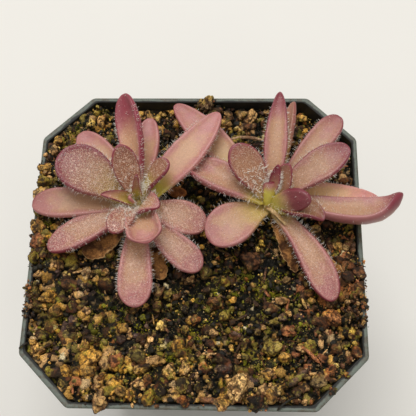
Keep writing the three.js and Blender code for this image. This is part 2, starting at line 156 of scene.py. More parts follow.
# What lies over the rim: x, y and radius as in the CAD mix, then the colour
LUMPS = [
    (-38.4, 19, 2, GOLD), (-38.2, 15, 2.4, OLIVE), (-38.4, 11, 2.6, TAN), (-38, 7, 2.5, OLIVE),
    (-38.4, 3, 2.6, GOLD), (-38.2, -1, 2.4, RUST), (-38.6, -4.6, 2, OLIVE), (38.6, -8, 2, BROWN),
    (38.4, -11.6, 1.9, BROWN), (-20.3, -38.3, 2.5, TAN), (14.4, -38.3, 2.3, PEAT), (-1.8, -38, 1.7, RUST),
    (1.6, 37.4, 2.6, PALE),
]

# Where crumbs spill over the rim: the lowest and highest x and y, and a share of the spilled crumbs
SPILLS = [
    ((-40.1, -36.5), (-7, 21.5), 10), ((-40.1, -37.2), (-19.5, -10.5), 4), ((36.8, 40.2), (-21, -4), 6),
    ((33.6, 35), (-32.6, -31), 0.5), ((30.8, 32.2), (-35.9, -34.6), 0.5), ((12, 17), (-40, -37), 1.5),
    ((-1, 4.5), (37.2, 39.6), 0.8), ((-24, 9), (-39.4, -38.4), 0.8),
]

# Moss cushions: x, y, spread and how thick they stand
CUSHIONS = [
    (13, -7, 4, 0.8), (18, -15, 7, 0.8), (4, -20, 7, 0.5), (-14, -20, 6, 0.7), (-25, -18, 7, 0.7),
    (-36, 12, 4, 1.0), (-35, 2, 4, 0.8), (-30, 26, 6, 0.7), (-2, 26, 4, 1.0), (14, -30, 6, 0.6),
    (22, -24, 6, 0.7), (-6, -28, 5, 0.5), (31, 22, 4, 0.5), (-32, -22, 6, 0.6), (18, -12, 4, 0.9),
]

LEFT_CROWN = (-14, 8)
RIGHT_CROWN = (18, 9)

# Each leaf as in the CAD part, then its finish:
#   flush            how red the tip is, from flush_from to flush_to as shares of the length
#   left, right      how red each margin is, edge how wide in millimetres, and flank how far on the underside
#   lip, dish        how far the rim stands up, and the face lies in, in millimetres; lip also sets how strong the painted highlight along the rim's crest is
#   green, green_to  how green the foot is, and the share of the length where that ends
#   under            how green the underside is
#   mauve, tone      how brown the whole blade is, and how light: partly its own tone, partly painted light and shade that evens out how lit it looks
#   fuzz             short hairs to a square millimetre of its face
#   fringe           long hairs to a millimetre of its margins
#   fleece           long curly hairs at its foot
LEAF = {
    "heel": None, "root": 2.5, "rise": 20, "dip": 0, "neck": 0.5, "belly": 0.62, "blunt": 2.2, "thick": 2.2,
    "cup": 0.15, "turn": 0, "roll": 0, "sweep": 0, "veer": 0, "lip": 0.08, "dish": 0.12, "flush": 0.3,
    "flush_from": 0.72, "flush_to": 1, "left": 0.5, "right": 0.5, "edge": 0.4, "flank": 0.25, "under": 0.45,
    "green": 0.5, "green_to": 0.35, "mauve": 0, "tone": 1, "fuzz": 1.5, "fringe": 3, "fleece": 0,
}

LEFT_LEAVES = [
    dict(name="bud", aim=200, reach=1.6, tip=9, root=5, rise=80, dip=80, width=2.4, thick=1.2, cup=0.5,
         left=0.1, right=0.1, green=0.9, green_to=1, fuzz=3),
    dict(name="fold_back", aim=82, reach=3.6, tip=13, root=4.4, rise=80, dip=75, width=2.6, neck=0.9,
         belly=0.3, blunt=1.3, thick=1.2, cup=0.9, lip=0, dish=0, green=0.9, green_to=0.7, mauve=0.6,
         fuzz=1),
    dict(name="fold_west", aim=184, reach=8, tip=10.5, root=4, rise=55, dip=30, width=3.6, neck=0.9,
         belly=0.25, blunt=1.3, thick=1.1, cup=1.1, lip=0, dish=0, left=0.8, right=0.8, flank=0.2,
         green=0.6, green_to=0.9, fuzz=0.8, fringe=1.5),
    dict(name="fold_east", aim=-31, reach=7, tip=10.4, root=5.4, rise=45, dip=8, width=7.2, neck=0.95,
         belly=0.2, blunt=1.05, thick=1.5, lip=0.05, dish=0.1, flush=0.2, left=0.8, right=1, flank=0.3,
         fuzz=2.5, fleece=8),
    dict(name="spade", aim=110, reach=11, tip=15, root=4, rise=65, dip=58, width=6.4, belly=0.6, thick=1.7,
         cup=0.2, left=0.8, right=0.8, edge=0.6, mauve=0.8, tone=1.03, fuzz=4, fleece=30),
    dict(name="spoon", aim=46, reach=11, tip=12, root=4, rise=62, dip=25, width=5.2, neck=0.28, belly=0.78,
         thick=1.6, turn=-45, roll=-15, flush=0.2, left=0.7, right=0.9, edge=0.7, green=1, green_to=0.8,
         mauve=0.9, tone=0.94, fuzz=2.6, fleece=60),
    dict(name="furry", aim=-117, reach=11, tip=9.5, root=3.8, rise=55, dip=5, width=5.8, belly=0.66,
         thick=1.8, edge=0.5, mauve=0.5, fuzz=12, fringe=5, fleece=36),
    dict(name="bowl", aim=-74, reach=12.8, tip=9.6, root=3.2, rise=50, dip=14, width=8.4, neck=0.8,
         belly=0.8, blunt=3, thick=1.7, cup=0.4, lip=0.3, dish=0.7, left=0.2, right=0.2, green=1,
         green_to=0.45, tone=1.02, fuzz=1, fringe=5, fleece=22),
    dict(name="round", aim=152, reach=21.6, tip=10, root=3, rise=35, dip=18, width=11.8, neck=0.35,
         belly=0.68, flush=0.5, flush_from=0.55, left=0.7, right=1, edge=1.8, green=0.55, green_to=0.85,
         mauve=0.35, tone=0.87, fuzz=6.5),
    dict(name="tall", aim=98, reach=25, tip=14, root=3, rise=50, dip=22, width=7.2, neck=0.4, belly=0.7,
         thick=2.8, cup=0.35, turn=-30, roll=-36, sweep=-1.5, flush=0.95, flush_from=0.46, flush_to=0.92,
         left=0.7, right=1, edge=0.9, flank=0.95, under=0.7, tone=1.14, fuzz=0.8, fringe=4.5),
    dict(name="pointer", aim=50, reach=30, tip=8, root=2.6, rise=35, dip=8, width=8.4, belly=0.5,
         blunt=1.8, sweep=-1.8, flush=0.2, left=0.2, right=0, edge=0.7, under=0.9, green=1, green_to=0.4,
         tone=1.06, fuzz=0.3, fringe=4),
    dict(name="back_west", aim=129, reach=24.8, tip=4, root=1.6, rise=30, dip=2, width=8, left=0.3,
         right=0.3, fuzz=0.4, fringe=1),
    dict(name="back_pale", aim=84, reach=22, tip=7, root=1.6, rise=32, dip=10, width=6.5, left=0.3,
         right=0.3, tone=1.04, fuzz=0.3, fringe=1),
    dict(name="west", aim=179.6, reach=26, tip=3, root=1.4, rise=18, dip=-6, width=8, belly=0.7, left=0.12,
         right=0.45, edge=0.8, mauve=0.1, tone=0.9, fuzz=0.6, fringe=1.2),
    dict(name="south_west", aim=-152, reach=24, tip=2, root=1.6, rise=16, dip=-8, width=7.6, thick=2.6,
         roll=8, flush=0.35, left=0.7, right=0.45, edge=0.6, flank=0.4, tone=0.95, fuzz=4),
    dict(name="south", aim=-89, reach=25.3, tip=2, root=1.2, rise=18, dip=-10, width=8.3, belly=0.78,
         lip=0.12, dish=0.15, flush=0.35, left=0.15, right=0.2, edge=0.5, tone=1.02, fuzz=2.4, fringe=4.5),
    dict(name="south_east", aim=-45.5, reach=22.2, tip=2, root=1.2, rise=16, dip=-8, width=7.3, belly=0.74,
         blunt=2.4, sweep=-1.2, lip=0.12, flush=0.35, left=0.2, right=0.2, tone=0.92, fuzz=3.6, fringe=4),
    dict(name="east", aim=-16, reach=17.3, tip=1.6, root=1.6, rise=18, dip=-12, width=8.6, left=0.25,
         right=0.3, mauve=0.15, tone=0.99, fuzz=4),
]

RIGHT_LEAVES = [
    dict(name="bud", aim=-85, heel=-120, reach=-2.6, tip=9, root=2.6, rise=88, dip=122, width=3.4, blunt=4,
         thick=1.1, cup=0.6, lip=0, dish=0, flush=0.9, flush_from=0.93, green=0.9, green_to=1),
    dict(name="fold_back", aim=75, reach=6, tip=12, root=4.4, rise=70, dip=62, width=2.8, blunt=1.4,
         thick=1.2, cup=0.8, lip=0, dish=0, flush=1, flush_from=0.1, left=0.9, right=0.9, fuzz=0.5,
         fringe=12),
    dict(name="blade", aim=54, reach=7, tip=12.5, root=4.2, rise=72, dip=62, width=6.4, belly=0.4,
         blunt=1.3, thick=1.3, cup=0.3, left=0.7, right=0.7, edge=0.45, green_to=0.5, mauve=0.7, fuzz=0.6),
    # the hook is counted from its other side, so that its pale side is its face
    dict(name="hook", aim=-22, heel=-110, reach=9.6, tip=12, root=2, rise=55, dip=14, width=5.8, neck=0.8,
         belly=0.6, thick=1.7, cup=-0.3, turn=55, roll=50, flush=0.85, flush_from=0.44, flush_to=0.72,
         left=0.3, right=0.2, green=1, green_to=0.7, mauve=0.2, tone=0.82, fuzz=1, fringe=0.3),
    dict(name="dark", aim=131, reach=14, tip=12.5, root=3.8, rise=52, dip=38, width=8.2, thick=1.9,
         flush=0.4, left=0.8, right=0.9, edge=0.8, mauve=0.75, tone=0.98, fuzz=2.2, fleece=90),
    dict(name="fold_east", aim=-31, reach=13.8, tip=9, root=3.4, rise=38, dip=22, width=6.2, belly=0.5,
         blunt=1.3, thick=1.8, cup=0.3, roll=-20, veer=-30, flush=0.6, left=0.9, right=0.9, edge=0.5,
         flank=0.3, mauve=1, tone=0.8, fuzz=1),
    dict(name="crest", aim=32, reach=21.8, tip=10, root=3.2, rise=38, dip=16, width=8.2, belly=0.66,
         blunt=1.9, flush=0.7, flush_from=0.6, left=0.9, right=0.6, edge=0.9, mauve=0.25, tone=0.9,
         fuzz=2),
    dict(name="spire", aim=85, reach=25, tip=13, root=3.2, rise=52, dip=28, width=5.8, belly=0.5,
         blunt=1.5, cup=0.3, flush=0.7, flush_from=0.6, left=0.7, edge=0.8, flank=0.35, tone=0.96,
         fuzz=0.8),
    dict(name="gutter", aim=157, reach=22, tip=5, root=3, rise=26, dip=8, width=8.8, blunt=2.6, thick=3,
         cup=0.5, roll=26, sweep=0.8, left=0.45, right=0.4, edge=0.8, flank=0.35, under=0.95, green=0.8,
         tone=0.96, fuzz=2, fringe=4),
    dict(name="horn", aim=1, reach=30.6, tip=8, root=2.6, rise=8, dip=38, width=8.8, thick=3, cup=0.45,
         turn=-20, roll=-42, sweep=-1.6, veer=58, flush=0.7, flush_from=0.75, left=0.3, right=0.4,
         flank=0.6, under=0.6, tone=0.92, fuzz=1.4, fringe=0.6),
    dict(name="back_east", aim=52, reach=28, tip=6, root=2, rise=30, dip=4, width=6.6, belly=0.7, blunt=3,
         flush=0.5, left=0.4, right=0.4, edge=0.8, mauve=0.15, tone=0.93, fuzz=0.8),
    dict(name="back_edge", aim=77, reach=27, tip=6, root=1.6, rise=30, dip=10, width=4.4, roll=-50,
         flush=0.1, left=0.4, right=0.4, green=0.8, green_to=0.8, mauve=0.6, fuzz=0.5, fringe=1),
    dict(name="long", aim=131, reach=37, tip=1.6, root=1.4, rise=12, dip=-4, width=8, blunt=1.6,
         flush=0.35, left=0.3, right=0.3, green=0.6, green_to=0.7, fuzz=0.4, fringe=1),
    dict(name="east", aim=4, reach=26.4, tip=1.3, root=1.2, rise=14, dip=-4, width=7.8, belly=0.35,
         blunt=1.2, sweep=1, flush=0, left=0.05, right=0.05, green=0.3, green_to=1.1, tone=1.34, fuzz=0.3,
         fringe=1),
    dict(name="south_east", aim=-59, reach=28, tip=1.2, root=1.4, rise=14, dip=-8, width=7.2, belly=0.72,
         thick=2.8, roll=12, sweep=1.6, lip=0.15, dish=0.2, left=0.55, right=0.8, edge=0.8, flank=0.45,
         tone=0.98, fuzz=2.4),
    dict(name="south_west", aim=-145.5, reach=17.9, tip=3.6, root=1.6, rise=24, dip=-14, width=10.8,
         neck=0.4, flush=0.2, left=0.25, right=0.25, edge=0.7, green_to=0.7, tone=0.96, fuzz=1.2,
         fringe=2),
]

LEFT_DRY = [
    dict(name="stalk", aim=-59, reach=12.2, tip=0.6, root=0.4, rise=10, width=1.4, neck=0.9, thick=0.8),
    dict(name="west", aim=-137, reach=17.5, tip=-0.5, root=0.2, rise=4, dip=-4, width=7, blunt=3,
         thick=0.7),
    dict(name="south", aim=-70, reach=18.8, tip=-0.6, root=0, rise=2, dip=-3, width=4.6, blunt=3,
         thick=0.7),
]

RIGHT_DRY = [
    dict(name="stalk", aim=-62, heel=-123, reach=7.2, tip=4, root=3.4, rise=25, dip=-20, width=1, neck=0.9,
         thick=0.9),
    dict(name="long", aim=-70, reach=17.6, tip=-0.4, root=0.2, rise=4, dip=-6, width=4, blunt=1.6,
         thick=0.7, cup=0.4),
    dict(name="edge", aim=-51.5, reach=29, tip=-0.4, root=0, rise=2, dip=-2, width=6.6, blunt=3,
         thick=0.7),
]

ROSETTES = [
    ("left", LEFT_CROWN, LEFT_LEAVES, LEFT_DRY),
    ("right", RIGHT_CROWN, RIGHT_LEAVES, RIGHT_DRY),
]


def smoothstep(value, low, high):
    """From 0 at low to 1 at high with soft ends, for a number or an array."""
    share = np.clip((value - low) / (high - low), 0, 1)
    return share * share * (3 - 2 * share)


def sign(operation, reflected=False):
    """The method behind a sign: it adds one Math node, with the other value first where it is reflected."""
    def method(term, other):
        return term.math(operation, other, term) if reflected else term.math(operation, term, other)

    return method


class Term:
    """A shader socket in an expression: each sign written on it adds a Math node."""

    __add__ = sign("ADD")
    __radd__ = sign("ADD", reflected=True)
    __sub__ = sign("SUBTRACT")
    __rsub__ = sign("SUBTRACT", reflected=True)
    __mul__ = sign("MULTIPLY")
    __rmul__ = sign("MULTIPLY", reflected=True)

    def __init__(self, finish, socket):
        self.finish = finish
        self.socket = socket

    def __abs__(self):
        return self.math("ABSOLUTE", self)

    def math(self, operation, *values):
        return self.finish.add("ShaderNodeMath", {"operation": operation}, *values)

    def larger(self, other):
        return self.math("MAXIMUM", self, other)

    def between(self, low, high):
        """From 0 where it is low to 1 where it is high, with soft ends."""
        settings = {"interpolation_type": "SMOOTHSTEP"}
        return self.finish.add("ShaderNodeMapRange", settings, self, low, high, 0.0, 1.0)


class Finish:
    """A material on the Principled shader, with its constants set on the shader's own sockets."""

    def __init__(self, name, constants):
        self.material = bpy.data.materials.new(name)
        self.material.use_nodes = True
        self.tree = self.material.node_tree
        self.shader = self.tree.nodes["Principled BSDF"]
        for socket, value in constants.items():
            self.shader.inputs[socket].default_value = value
        self.place = self.add("ShaderNodeTexCoord", output="Object")

    def add(self, kind, settings=None, *values, output=0, named=None):
        """A node: its settings first, then the values or links of its sockets, in order or by name."""
        node = self.tree.nodes.new(kind)
        for setting, value in (settings or {}).items():
            setattr(node, setting, value)
        sockets = [socket for socket in node.inputs if socket.enabled]
        pairs = list(zip(sockets, values))
        pairs += [(node.inputs[name], value) for name, value in (named or {}).items()]
        for socket, value in pairs:
            if isinstance(value, Term):
                self.tree.links.new(value.socket, socket)
            else:
                socket.default_value = value
        outputs = [socket for socket in node.outputs if socket.enabled]
        return Term(self, node.outputs[output] if isinstance(output, str) else outputs[output])

    def attribute(self, name, output="Fac"):
        return self.add("ShaderNodeAttribute", {"attribute_name": name}, output=output)

    def part(self, axis, vector=None):
        """A vector's part along an axis, by default of the place on the object."""
        return self.add("ShaderNodeSeparateXYZ", {}, vector or self.place, output=axis)

    def grain(self, size, detail=3.0, rough=0.55):
        """Cloudy noise with spots of about that size in millimetres."""
        named = {"Vector": self.place, "Scale": 1 / (size * MM), "Detail": detail, "Roughness": rough}
        return self.add("ShaderNodeTexNoise", {}, named=named)

    def dots(self, size, low, high):
        """Round dots about that far apart in millimetres: one up to low from a middle, and none past high."""
        named = {"Vector": self.place, "Scale": 1 / (size * MM)}
        return 1 - self.add("ShaderNodeTexVoronoi", {}, output="Distance", named=named).between(low, high)

    def blend(self, share, first, second, kind="MIX"):
        settings = {"data_type": "RGBA", "blend_type": kind}
        return self.add("ShaderNodeMix", settings, share, first, second)

    def mottled(self, base, share, cloud, low, high, dark, light):
        """The base multiplied by a cloud's shades: dark where it is low, light where it is high."""
        shade = self.blend(cloud.between(low, high), (*dark, 1), (*light, 1))
        return self.blend(share, base, shade, "MULTIPLY")

    def bump(self, height, depth, strength=1.0):
        named = {"Height": height, "Distance": depth * MM, "Strength": strength}
        return self.add("ShaderNodeBump", {}, named=named)

    def feed(self, **sockets):
        """Links what varies over the surface: base, roughness and normal."""
        names = {"base": "Base Color", "roughness": "Roughness", "normal": "Normal"}
        for key, term in sockets.items():
            self.tree.links.new(term.socket, self.shader.inputs[names[key]])
        return self.material


def length_property(name, description, default):
    """A length in metres whose default is given in millimetres."""
    return FloatProperty(name=name, description=description, default=default * MM, unit="LENGTH", precision=5)


def colour_property(name, description, default):
    return FloatVectorProperty(name=name, description=description, default=default, size=4, subtype="COLOR",
                               min=0, max=1)


class LeafLook(bpy.types.PropertyGroup):
    """Sizes and colours of the leaves and their hairs."""

    peach: colour_property("Peach", "Warm tone of the blades", colour(190, 146, 112))
    pink: colour_property("Pink", "Cool tone of the blades", colour(181, 120, 115))
    mauve: colour_property("Mauve", "Brown tone of the inner blades", colour(152, 104, 68))
    flush: colour_property("Flush", "Red of tips and margins", colour(134, 52, 64))
    green: colour_property("Green", "Yellow green of the feet and undersides", colour(196, 182, 74))
    # down also colours the painted highlight along the crest of each rim
    down: colour_property("Down", "Pale curls on the blades", colour(228, 188, 168))
    hair: colour_property("Hairs", "Colour of the hairs", colour(255, 250, 238))
    fringe_length: length_property("Fringe length", "Length of the hairs on the margins", 1.3)
    fuzz_length: length_property("Fuzz length", "Length of the hairs on the faces", 0.42)
    hair_width: length_property("Hair width", "Width of a hair at its foot", 0.09)
    sides: IntProperty(name="Sides", description="Faces around a leaf", default=36, min=8, max=64)
    rings: IntProperty(name="Rings", description="Faces along a leaf", default=60, min=8, max=96)


class MixLook(bpy.types.PropertyGroup):
    """Amounts and colours of the mix."""

    # the dark ground's colour, which also paints the shade in the gaps between the crumbs
    peat: colour_property("Peat", "Dark ground between the stones", colour(24, 23, 13))
    gravel: IntProperty(name="Gravel", description="Middling grains", default=1500, min=0)
    grit: IntProperty(name="Grit", description="Small grains", default=6500, min=0)
    moss: IntProperty(name="Moss", description="Tufts of moss", default=2400, min=0)
    fibres: IntProperty(name="Fibres", description="Peat fibres and slivers of wood", default=320, min=0)
    crumbs: IntProperty(name="Crumbs", description="Packed crumbs of the ground", default=7000, min=0)
    rubble: IntProperty(name="Rubble", description="Loose stones between the large ones", default=240, min=0)


class PotLook(bpy.types.PropertyGroup):
    """Sizes and colours of the pot."""

    plastic: colour_property("Plastic", "Dark green of the pot", colour(26, 36, 31))
    # the rim's paler grey green: partly worn plastic, partly a painted sheen
    scuff_and_sheen: colour_property("Scuffs", "Worn grey green of the rim", colour(106, 114, 102))
    corner: length_property("Corner round", "Rounding of the pot's upright corners", 0.5)


class StageLook(bpy.types.PropertyGroup):
    """The floor, the light and the camera."""

    floor: colour_property("Floor", "Pale table", colour(236, 233, 226))
    sky: FloatProperty(name="Sky", description="Strength of the soft light from all round", default=0.42)
    key: FloatProperty(name="Key", description="Window light from behind", default=12, unit="POWER")
    fill: FloatProperty(name="Fill", description="Soft light from above", default=3.5, unit="POWER")
    lens: FloatProperty(name="Lens", description="Focal length of the camera", default=68.43, unit="CAMERA")


def cubic(ends, t):
    """A point on a cubic curve and the way it runs there, for one share of it or a column of shares."""
    a, b, c, d = ends
    s = 1 - t
    point = s**3 * a + 3 * s * s * t * b + 3 * s * t * t * c + t**3 * d
    return point, s * s * (b - a) + 2 * s * t * (c - b) + t * t * (d - c)


class Leaf:
    """One leaf: its midrib, outline and section, from the same numbers as its CAD node."""

    def __init__(self, crown, given):
        self.__dict__.update({**LEAF, **given})
        aim = math.radians(self.aim)
        heel = aim if self.heel is None else math.radians(self.heel)
        veer = math.radians(self.veer)
        out = np.array([math.cos(aim), math.sin(aim), 0])
        self.left_way = np.array([-math.sin(aim), math.cos(aim), 0])
        axis = np.array([crown[0], crown[1], RIM])
        up = np.array([0, 0, 1])
        root = axis + HEEL_RADIUS * np.array([math.cos(heel), math.sin(heel), 0]) + self.root * up
        tip = axis + self.reach * out + self.tip * up
        hold = HANDLE * np.linalg.norm(tip - root)
        onward = out * math.cos(veer) + self.left_way * math.sin(veer)

        def handle(way, slope):
            angle = math.radians(slope)
            return hold * (math.cos(angle) * way + math.sin(angle) * up)

        bow = self.sweep * self.left_way
        self.ends = [root, root + handle(out, self.rise) + bow, tip - handle(onward, self.dip) + bow, tip]
        self.length = hold / HANDLE

    def half_width(self, t):
        opening = self.neck + (1 - self.neck) * smoothstep(t, 0, self.belly)
        beyond = np.clip((t - self.belly) / (1 - self.belly), 0, 1)
        foot = np.minimum(1, t / HEEL_ROUND)
        return self.width / 2 * opening * np.sqrt(1 - beyond**self.blunt) * np.sqrt(foot * (2 - foot))

    def axes(self, t):
        """The midrib's points, its direction, and the blade's side and up directions there."""
        point, onward = cubic(self.ends, t[:, None])
        onward = onward / np.linalg.norm(onward, axis=1)[:, None]
        side = self.left_way - onward * (onward @ self.left_way)[:, None]
        side /= np.linalg.norm(side, axis=1)[:, None]
        angle = np.radians(self.turn + (self.roll - self.turn) * t)[:, None]
        side = side * np.cos(angle) + np.cross(onward, side) * np.sin(angle)
        return point, onward, side, np.cross(onward, side)

    def gap(self, t, across):
        """How far a point lies inside the leaf's outline, in millimetres."""
        beside = self.half_width(t) * (1 - np.abs(across))
        ahead = (1 - t) * self.length
        return beside * ahead / (np.hypot(beside, ahead) + 1e-6)

    def margin(self, t):
        """How wide the rounded margin is, in millimetres."""
        return np.minimum(0.32 * self.thick, 0.28 * self.half_width(t)) + 1e-3

    def skin(self, t, angle):
        """Points on the surface and the way out of it; angle 0 is the left margin and 90 degrees the face."""
        point, _, side, up = self.axes(t)
        across, lift = np.cos(angle), np.sin(angle)
        half = self.half_width(t)
        thick = self.thick / 2 * (4 * t * (1 - t)) ** EDGE_ROUND
        roll = np.clip(0.5 * thick / np.maximum(half, 0.1), 0.08, 0.4)
        beyond = np.clip((np.abs(across) - 1 + roll) / roll, 0, 1)
        body = np.where(lift > 0, np.sqrt(1 - beyond**2), lift)
        open_face = np.clip(lift * 4, 0, 1) * smoothstep(t, 0.08, 0.4)
        gap, margin = self.gap(t, across), self.margin(t)
        crest = np.exp(-(((gap - 0.9 * margin) / (0.5 * margin)) ** 2))
        hollow = smoothstep(gap, 0.9 * margin, 2.6 * margin)
        raised = (self.lip * crest - self.dish * hollow) * open_face * np.minimum(1, half / 2)
        height = thick * body + self.cup * half * across**2 + raised
        placed = point + side * (half * across)[:, None] + up * height[:, None]
        steep = np.where(lift > 0, beyond, np.abs(across)) * np.sign(across)
        out = side * steep[:, None] + up * (np.where(lift > 0, 1 - beyond**2, lift) + 1e-3)[:, None]
        return placed, out / np.linalg.norm(out, axis=1)[:, None]


def mesh_from(bm, name):
    """The bmesh as a mesh, with its faces shaded smooth."""
    for face in bm.faces:
        face.smooth = True
    mesh = bpy.data.meshes.new(name)
    bm.to_mesh(mesh)
    bm.free()
    return mesh


def add_object(name, data):
    """A new object in the scene that holds a mesh, a light or a camera."""
    made = bpy.data.objects.new(name, data)
    bpy.context.scene.collection.objects.link(made)
    return made


def add_piece(name, form, material, slot, *nodes):
    """A piece of the plant or pot, from a bmesh or a mesh. It stands for the CAD nodes that are named."""
    mesh = mesh_from(form, name) if isinstance(form, bmesh.types.BMesh) else form
    mesh.transform(Matrix.Scale(MM, 4))
    piece = add_object(name, mesh)
    mesh.materials.append(material)
    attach(piece, "root")
    if nodes:
        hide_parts(*nodes)


def unit_mesh(bm):
    """A small closed shape to be copied many times, as corners and triangles."""
    bmesh.ops.triangulate(bm, faces=bm.faces)
    bm.verts.ensure_lookup_table()
    corners = np.array([vert.co for vert in bm.verts])
    faces = np.array([[vert.index for vert in face.verts] for face in bm.faces])
    bm.free()
    return corners, faces


def copies(name, groups, smooth=True):
    """One mesh of many copies. Each group is a unit mesh, one 4x4 array per copy and one colour per copy."""
    points, faces, paints, start = [], [], [], 0
    for (corners, triangles), places, colours in groups:
        places = np.asarray(places)
        moved = np.einsum("mij,nj->mni", places[:, :3, :3], corners) + places[:, None, :3, 3]
        first = start + len(corners) * np.arange(len(places))
        points.append(moved.reshape(-1, 3))
        faces.append((triangles[None] + first[:, None, None]).reshape(-1, 3))
        paints.append(np.repeat(np.asarray(colours), len(corners), axis=0))
        start += len(corners) * len(places)
    mesh = bpy.data.meshes.new(name)
    mesh.from_pydata(np.concatenate(points).tolist(), [], np.concatenate(faces).tolist())
    layer = mesh.attributes.new("tint", "FLOAT_COLOR", "POINT")
    layer.data.foreach_set("color", np.concatenate(paints).astype(np.float32).ravel())
    mesh.polygons.foreach_set("use_smooth", [smooth] * len(mesh.polygons))
    return mesh


def stand(points, ways, lengths, widths):
    """Places for shapes that stand on points: along a way, with a length and a width each."""
    ways = ways / np.linalg.norm(ways, axis=1)[:, None]
    helper = np.where(np.abs(ways[:, 2:]) < 0.9, [[0.0, 0, 1]], [[1.0, 0, 0]])
    side = np.cross(helper, ways)
    side /= np.linalg.norm(side, axis=1)[:, None]
    places = np.zeros((len(points), 4, 4))
    places[:, :3, 0] = side * widths[:, None]
    places[:, :3, 1] = np.cross(ways, side) * widths[:, None]
    places[:, :3, 2] = ways * lengths[:, None]
    places[:, :3, 3] = points
    places[:, 3, 3] = 1
    return places


def leaf_shades(leaf, t, angle):
    """How red, green, pink and open to the light each point of a leaf is, and where a painted highlight runs
    along the crest of its rim.
    """
    across, lift = np.cos(angle), np.sin(angle)
    gap, margin = leaf.gap(t, across), leaf.margin(t)
    tip = leaf.flush * smoothstep(t, leaf.flush_from, leaf.flush_to)
    rim = 1 - smoothstep(gap, 0.1 * leaf.edge, leaf.edge)
    rolled = smoothstep(np.abs(across), 1 - 0.3 * leaf.flank, 1) * np.clip(2 * leaf.flank - 0.6, 0, 1)
    rim = np.maximum(rim, rolled)
    under = smoothstep(-lift, -0.05, 0.2)
    flank = under * smoothstep(np.abs(across), 1 - leaf.flank, 1 - 0.4 * leaf.flank)
    strength = 1.05 * np.where(across > 0, leaf.left, leaf.right)
    red = np.clip(tip + strength * np.maximum(rim, flank) * smoothstep(t, 0.1, 0.45), 0, 1)
    foot = leaf.green * (1 - smoothstep(t, 0.25 * leaf.green_to, leaf.green_to))
    below = leaf.under * under * (1 - smoothstep(t, 0.6, 0.95)) * (1 - flank)
    face = (1 - under) * smoothstep(gap, 0.35 * margin, 1.1 * margin)
    blush = np.maximum(smoothstep(np.abs(across), 0.3, 0.95), smoothstep(t, 0.55, 1))
    # crest: where a pale painted highlight runs along the rounded rim, just inside the margin
    crest = np.exp(-(((gap - 0.95 * margin) / (0.3 * margin)) ** 2)) * (1 - under) * smoothstep(t, 0.3, 0.6)
    return {
        "red": red, "green": np.clip(foot + below, 0, 1), "face": face, "blush": blush,
        "crest": crest * min(1, 2 * leaf.lip), "down": np.clip(leaf.fuzz / 5, 0.05, 1.3) * face,
        "mauve": np.full_like(t, leaf.mauve), "tone": np.full_like(t, leaf.tone),
    }


def draw_out(leaf, sides, rings, crinkle=0.0):
    """A leaf as a sphere drawn out along its midrib, with its shades on its corners."""
    bm = bmesh.new()
    bmesh.ops.create_uvsphere(bm, u_segments=sides, v_segments=rings, radius=1)
    ball = np.array([vert.co for vert in bm.verts])
    t = np.clip((1 + ball[:, 2]) / 2, 0, 1)
    angle = np.arctan2(ball[:, 1], ball[:, 0])
    points, out = leaf.skin(t, angle)
    if crinkle:
        _, _, side, up = leaf.axes(t)
        wave = [noise.noise(Vector((p[0], p[1], leaf.aim)) * 0.55) for p in points]
        fray = [noise.noise(Vector((p[0], p[1], leaf.aim)) * 1.4) for p in points]
        points = points + up * (crinkle * np.array(wave))[:, None]
        points += side * (0.6 * crinkle * np.array(fray) * np.cos(angle))[:, None]
    else:
        swell = [noise.noise(Vector(p) * 0.5) + 0.5 * noise.noise(Vector(p) * 1.7) for p in points]
        ends = np.clip(20 * t * (1 - t), 0, 1)
        points = points + out * (0.09 * np.array(swell) * ends)[:, None]
    for vert, point in zip(bm.verts, points):
        vert.co = point
    for name, values in leaf_shades(leaf, t, angle).items():
        layer = bm.verts.layers.float.new(name)
        for vert, value in zip(bm.verts, values):
            vert[layer] = value
    return bm


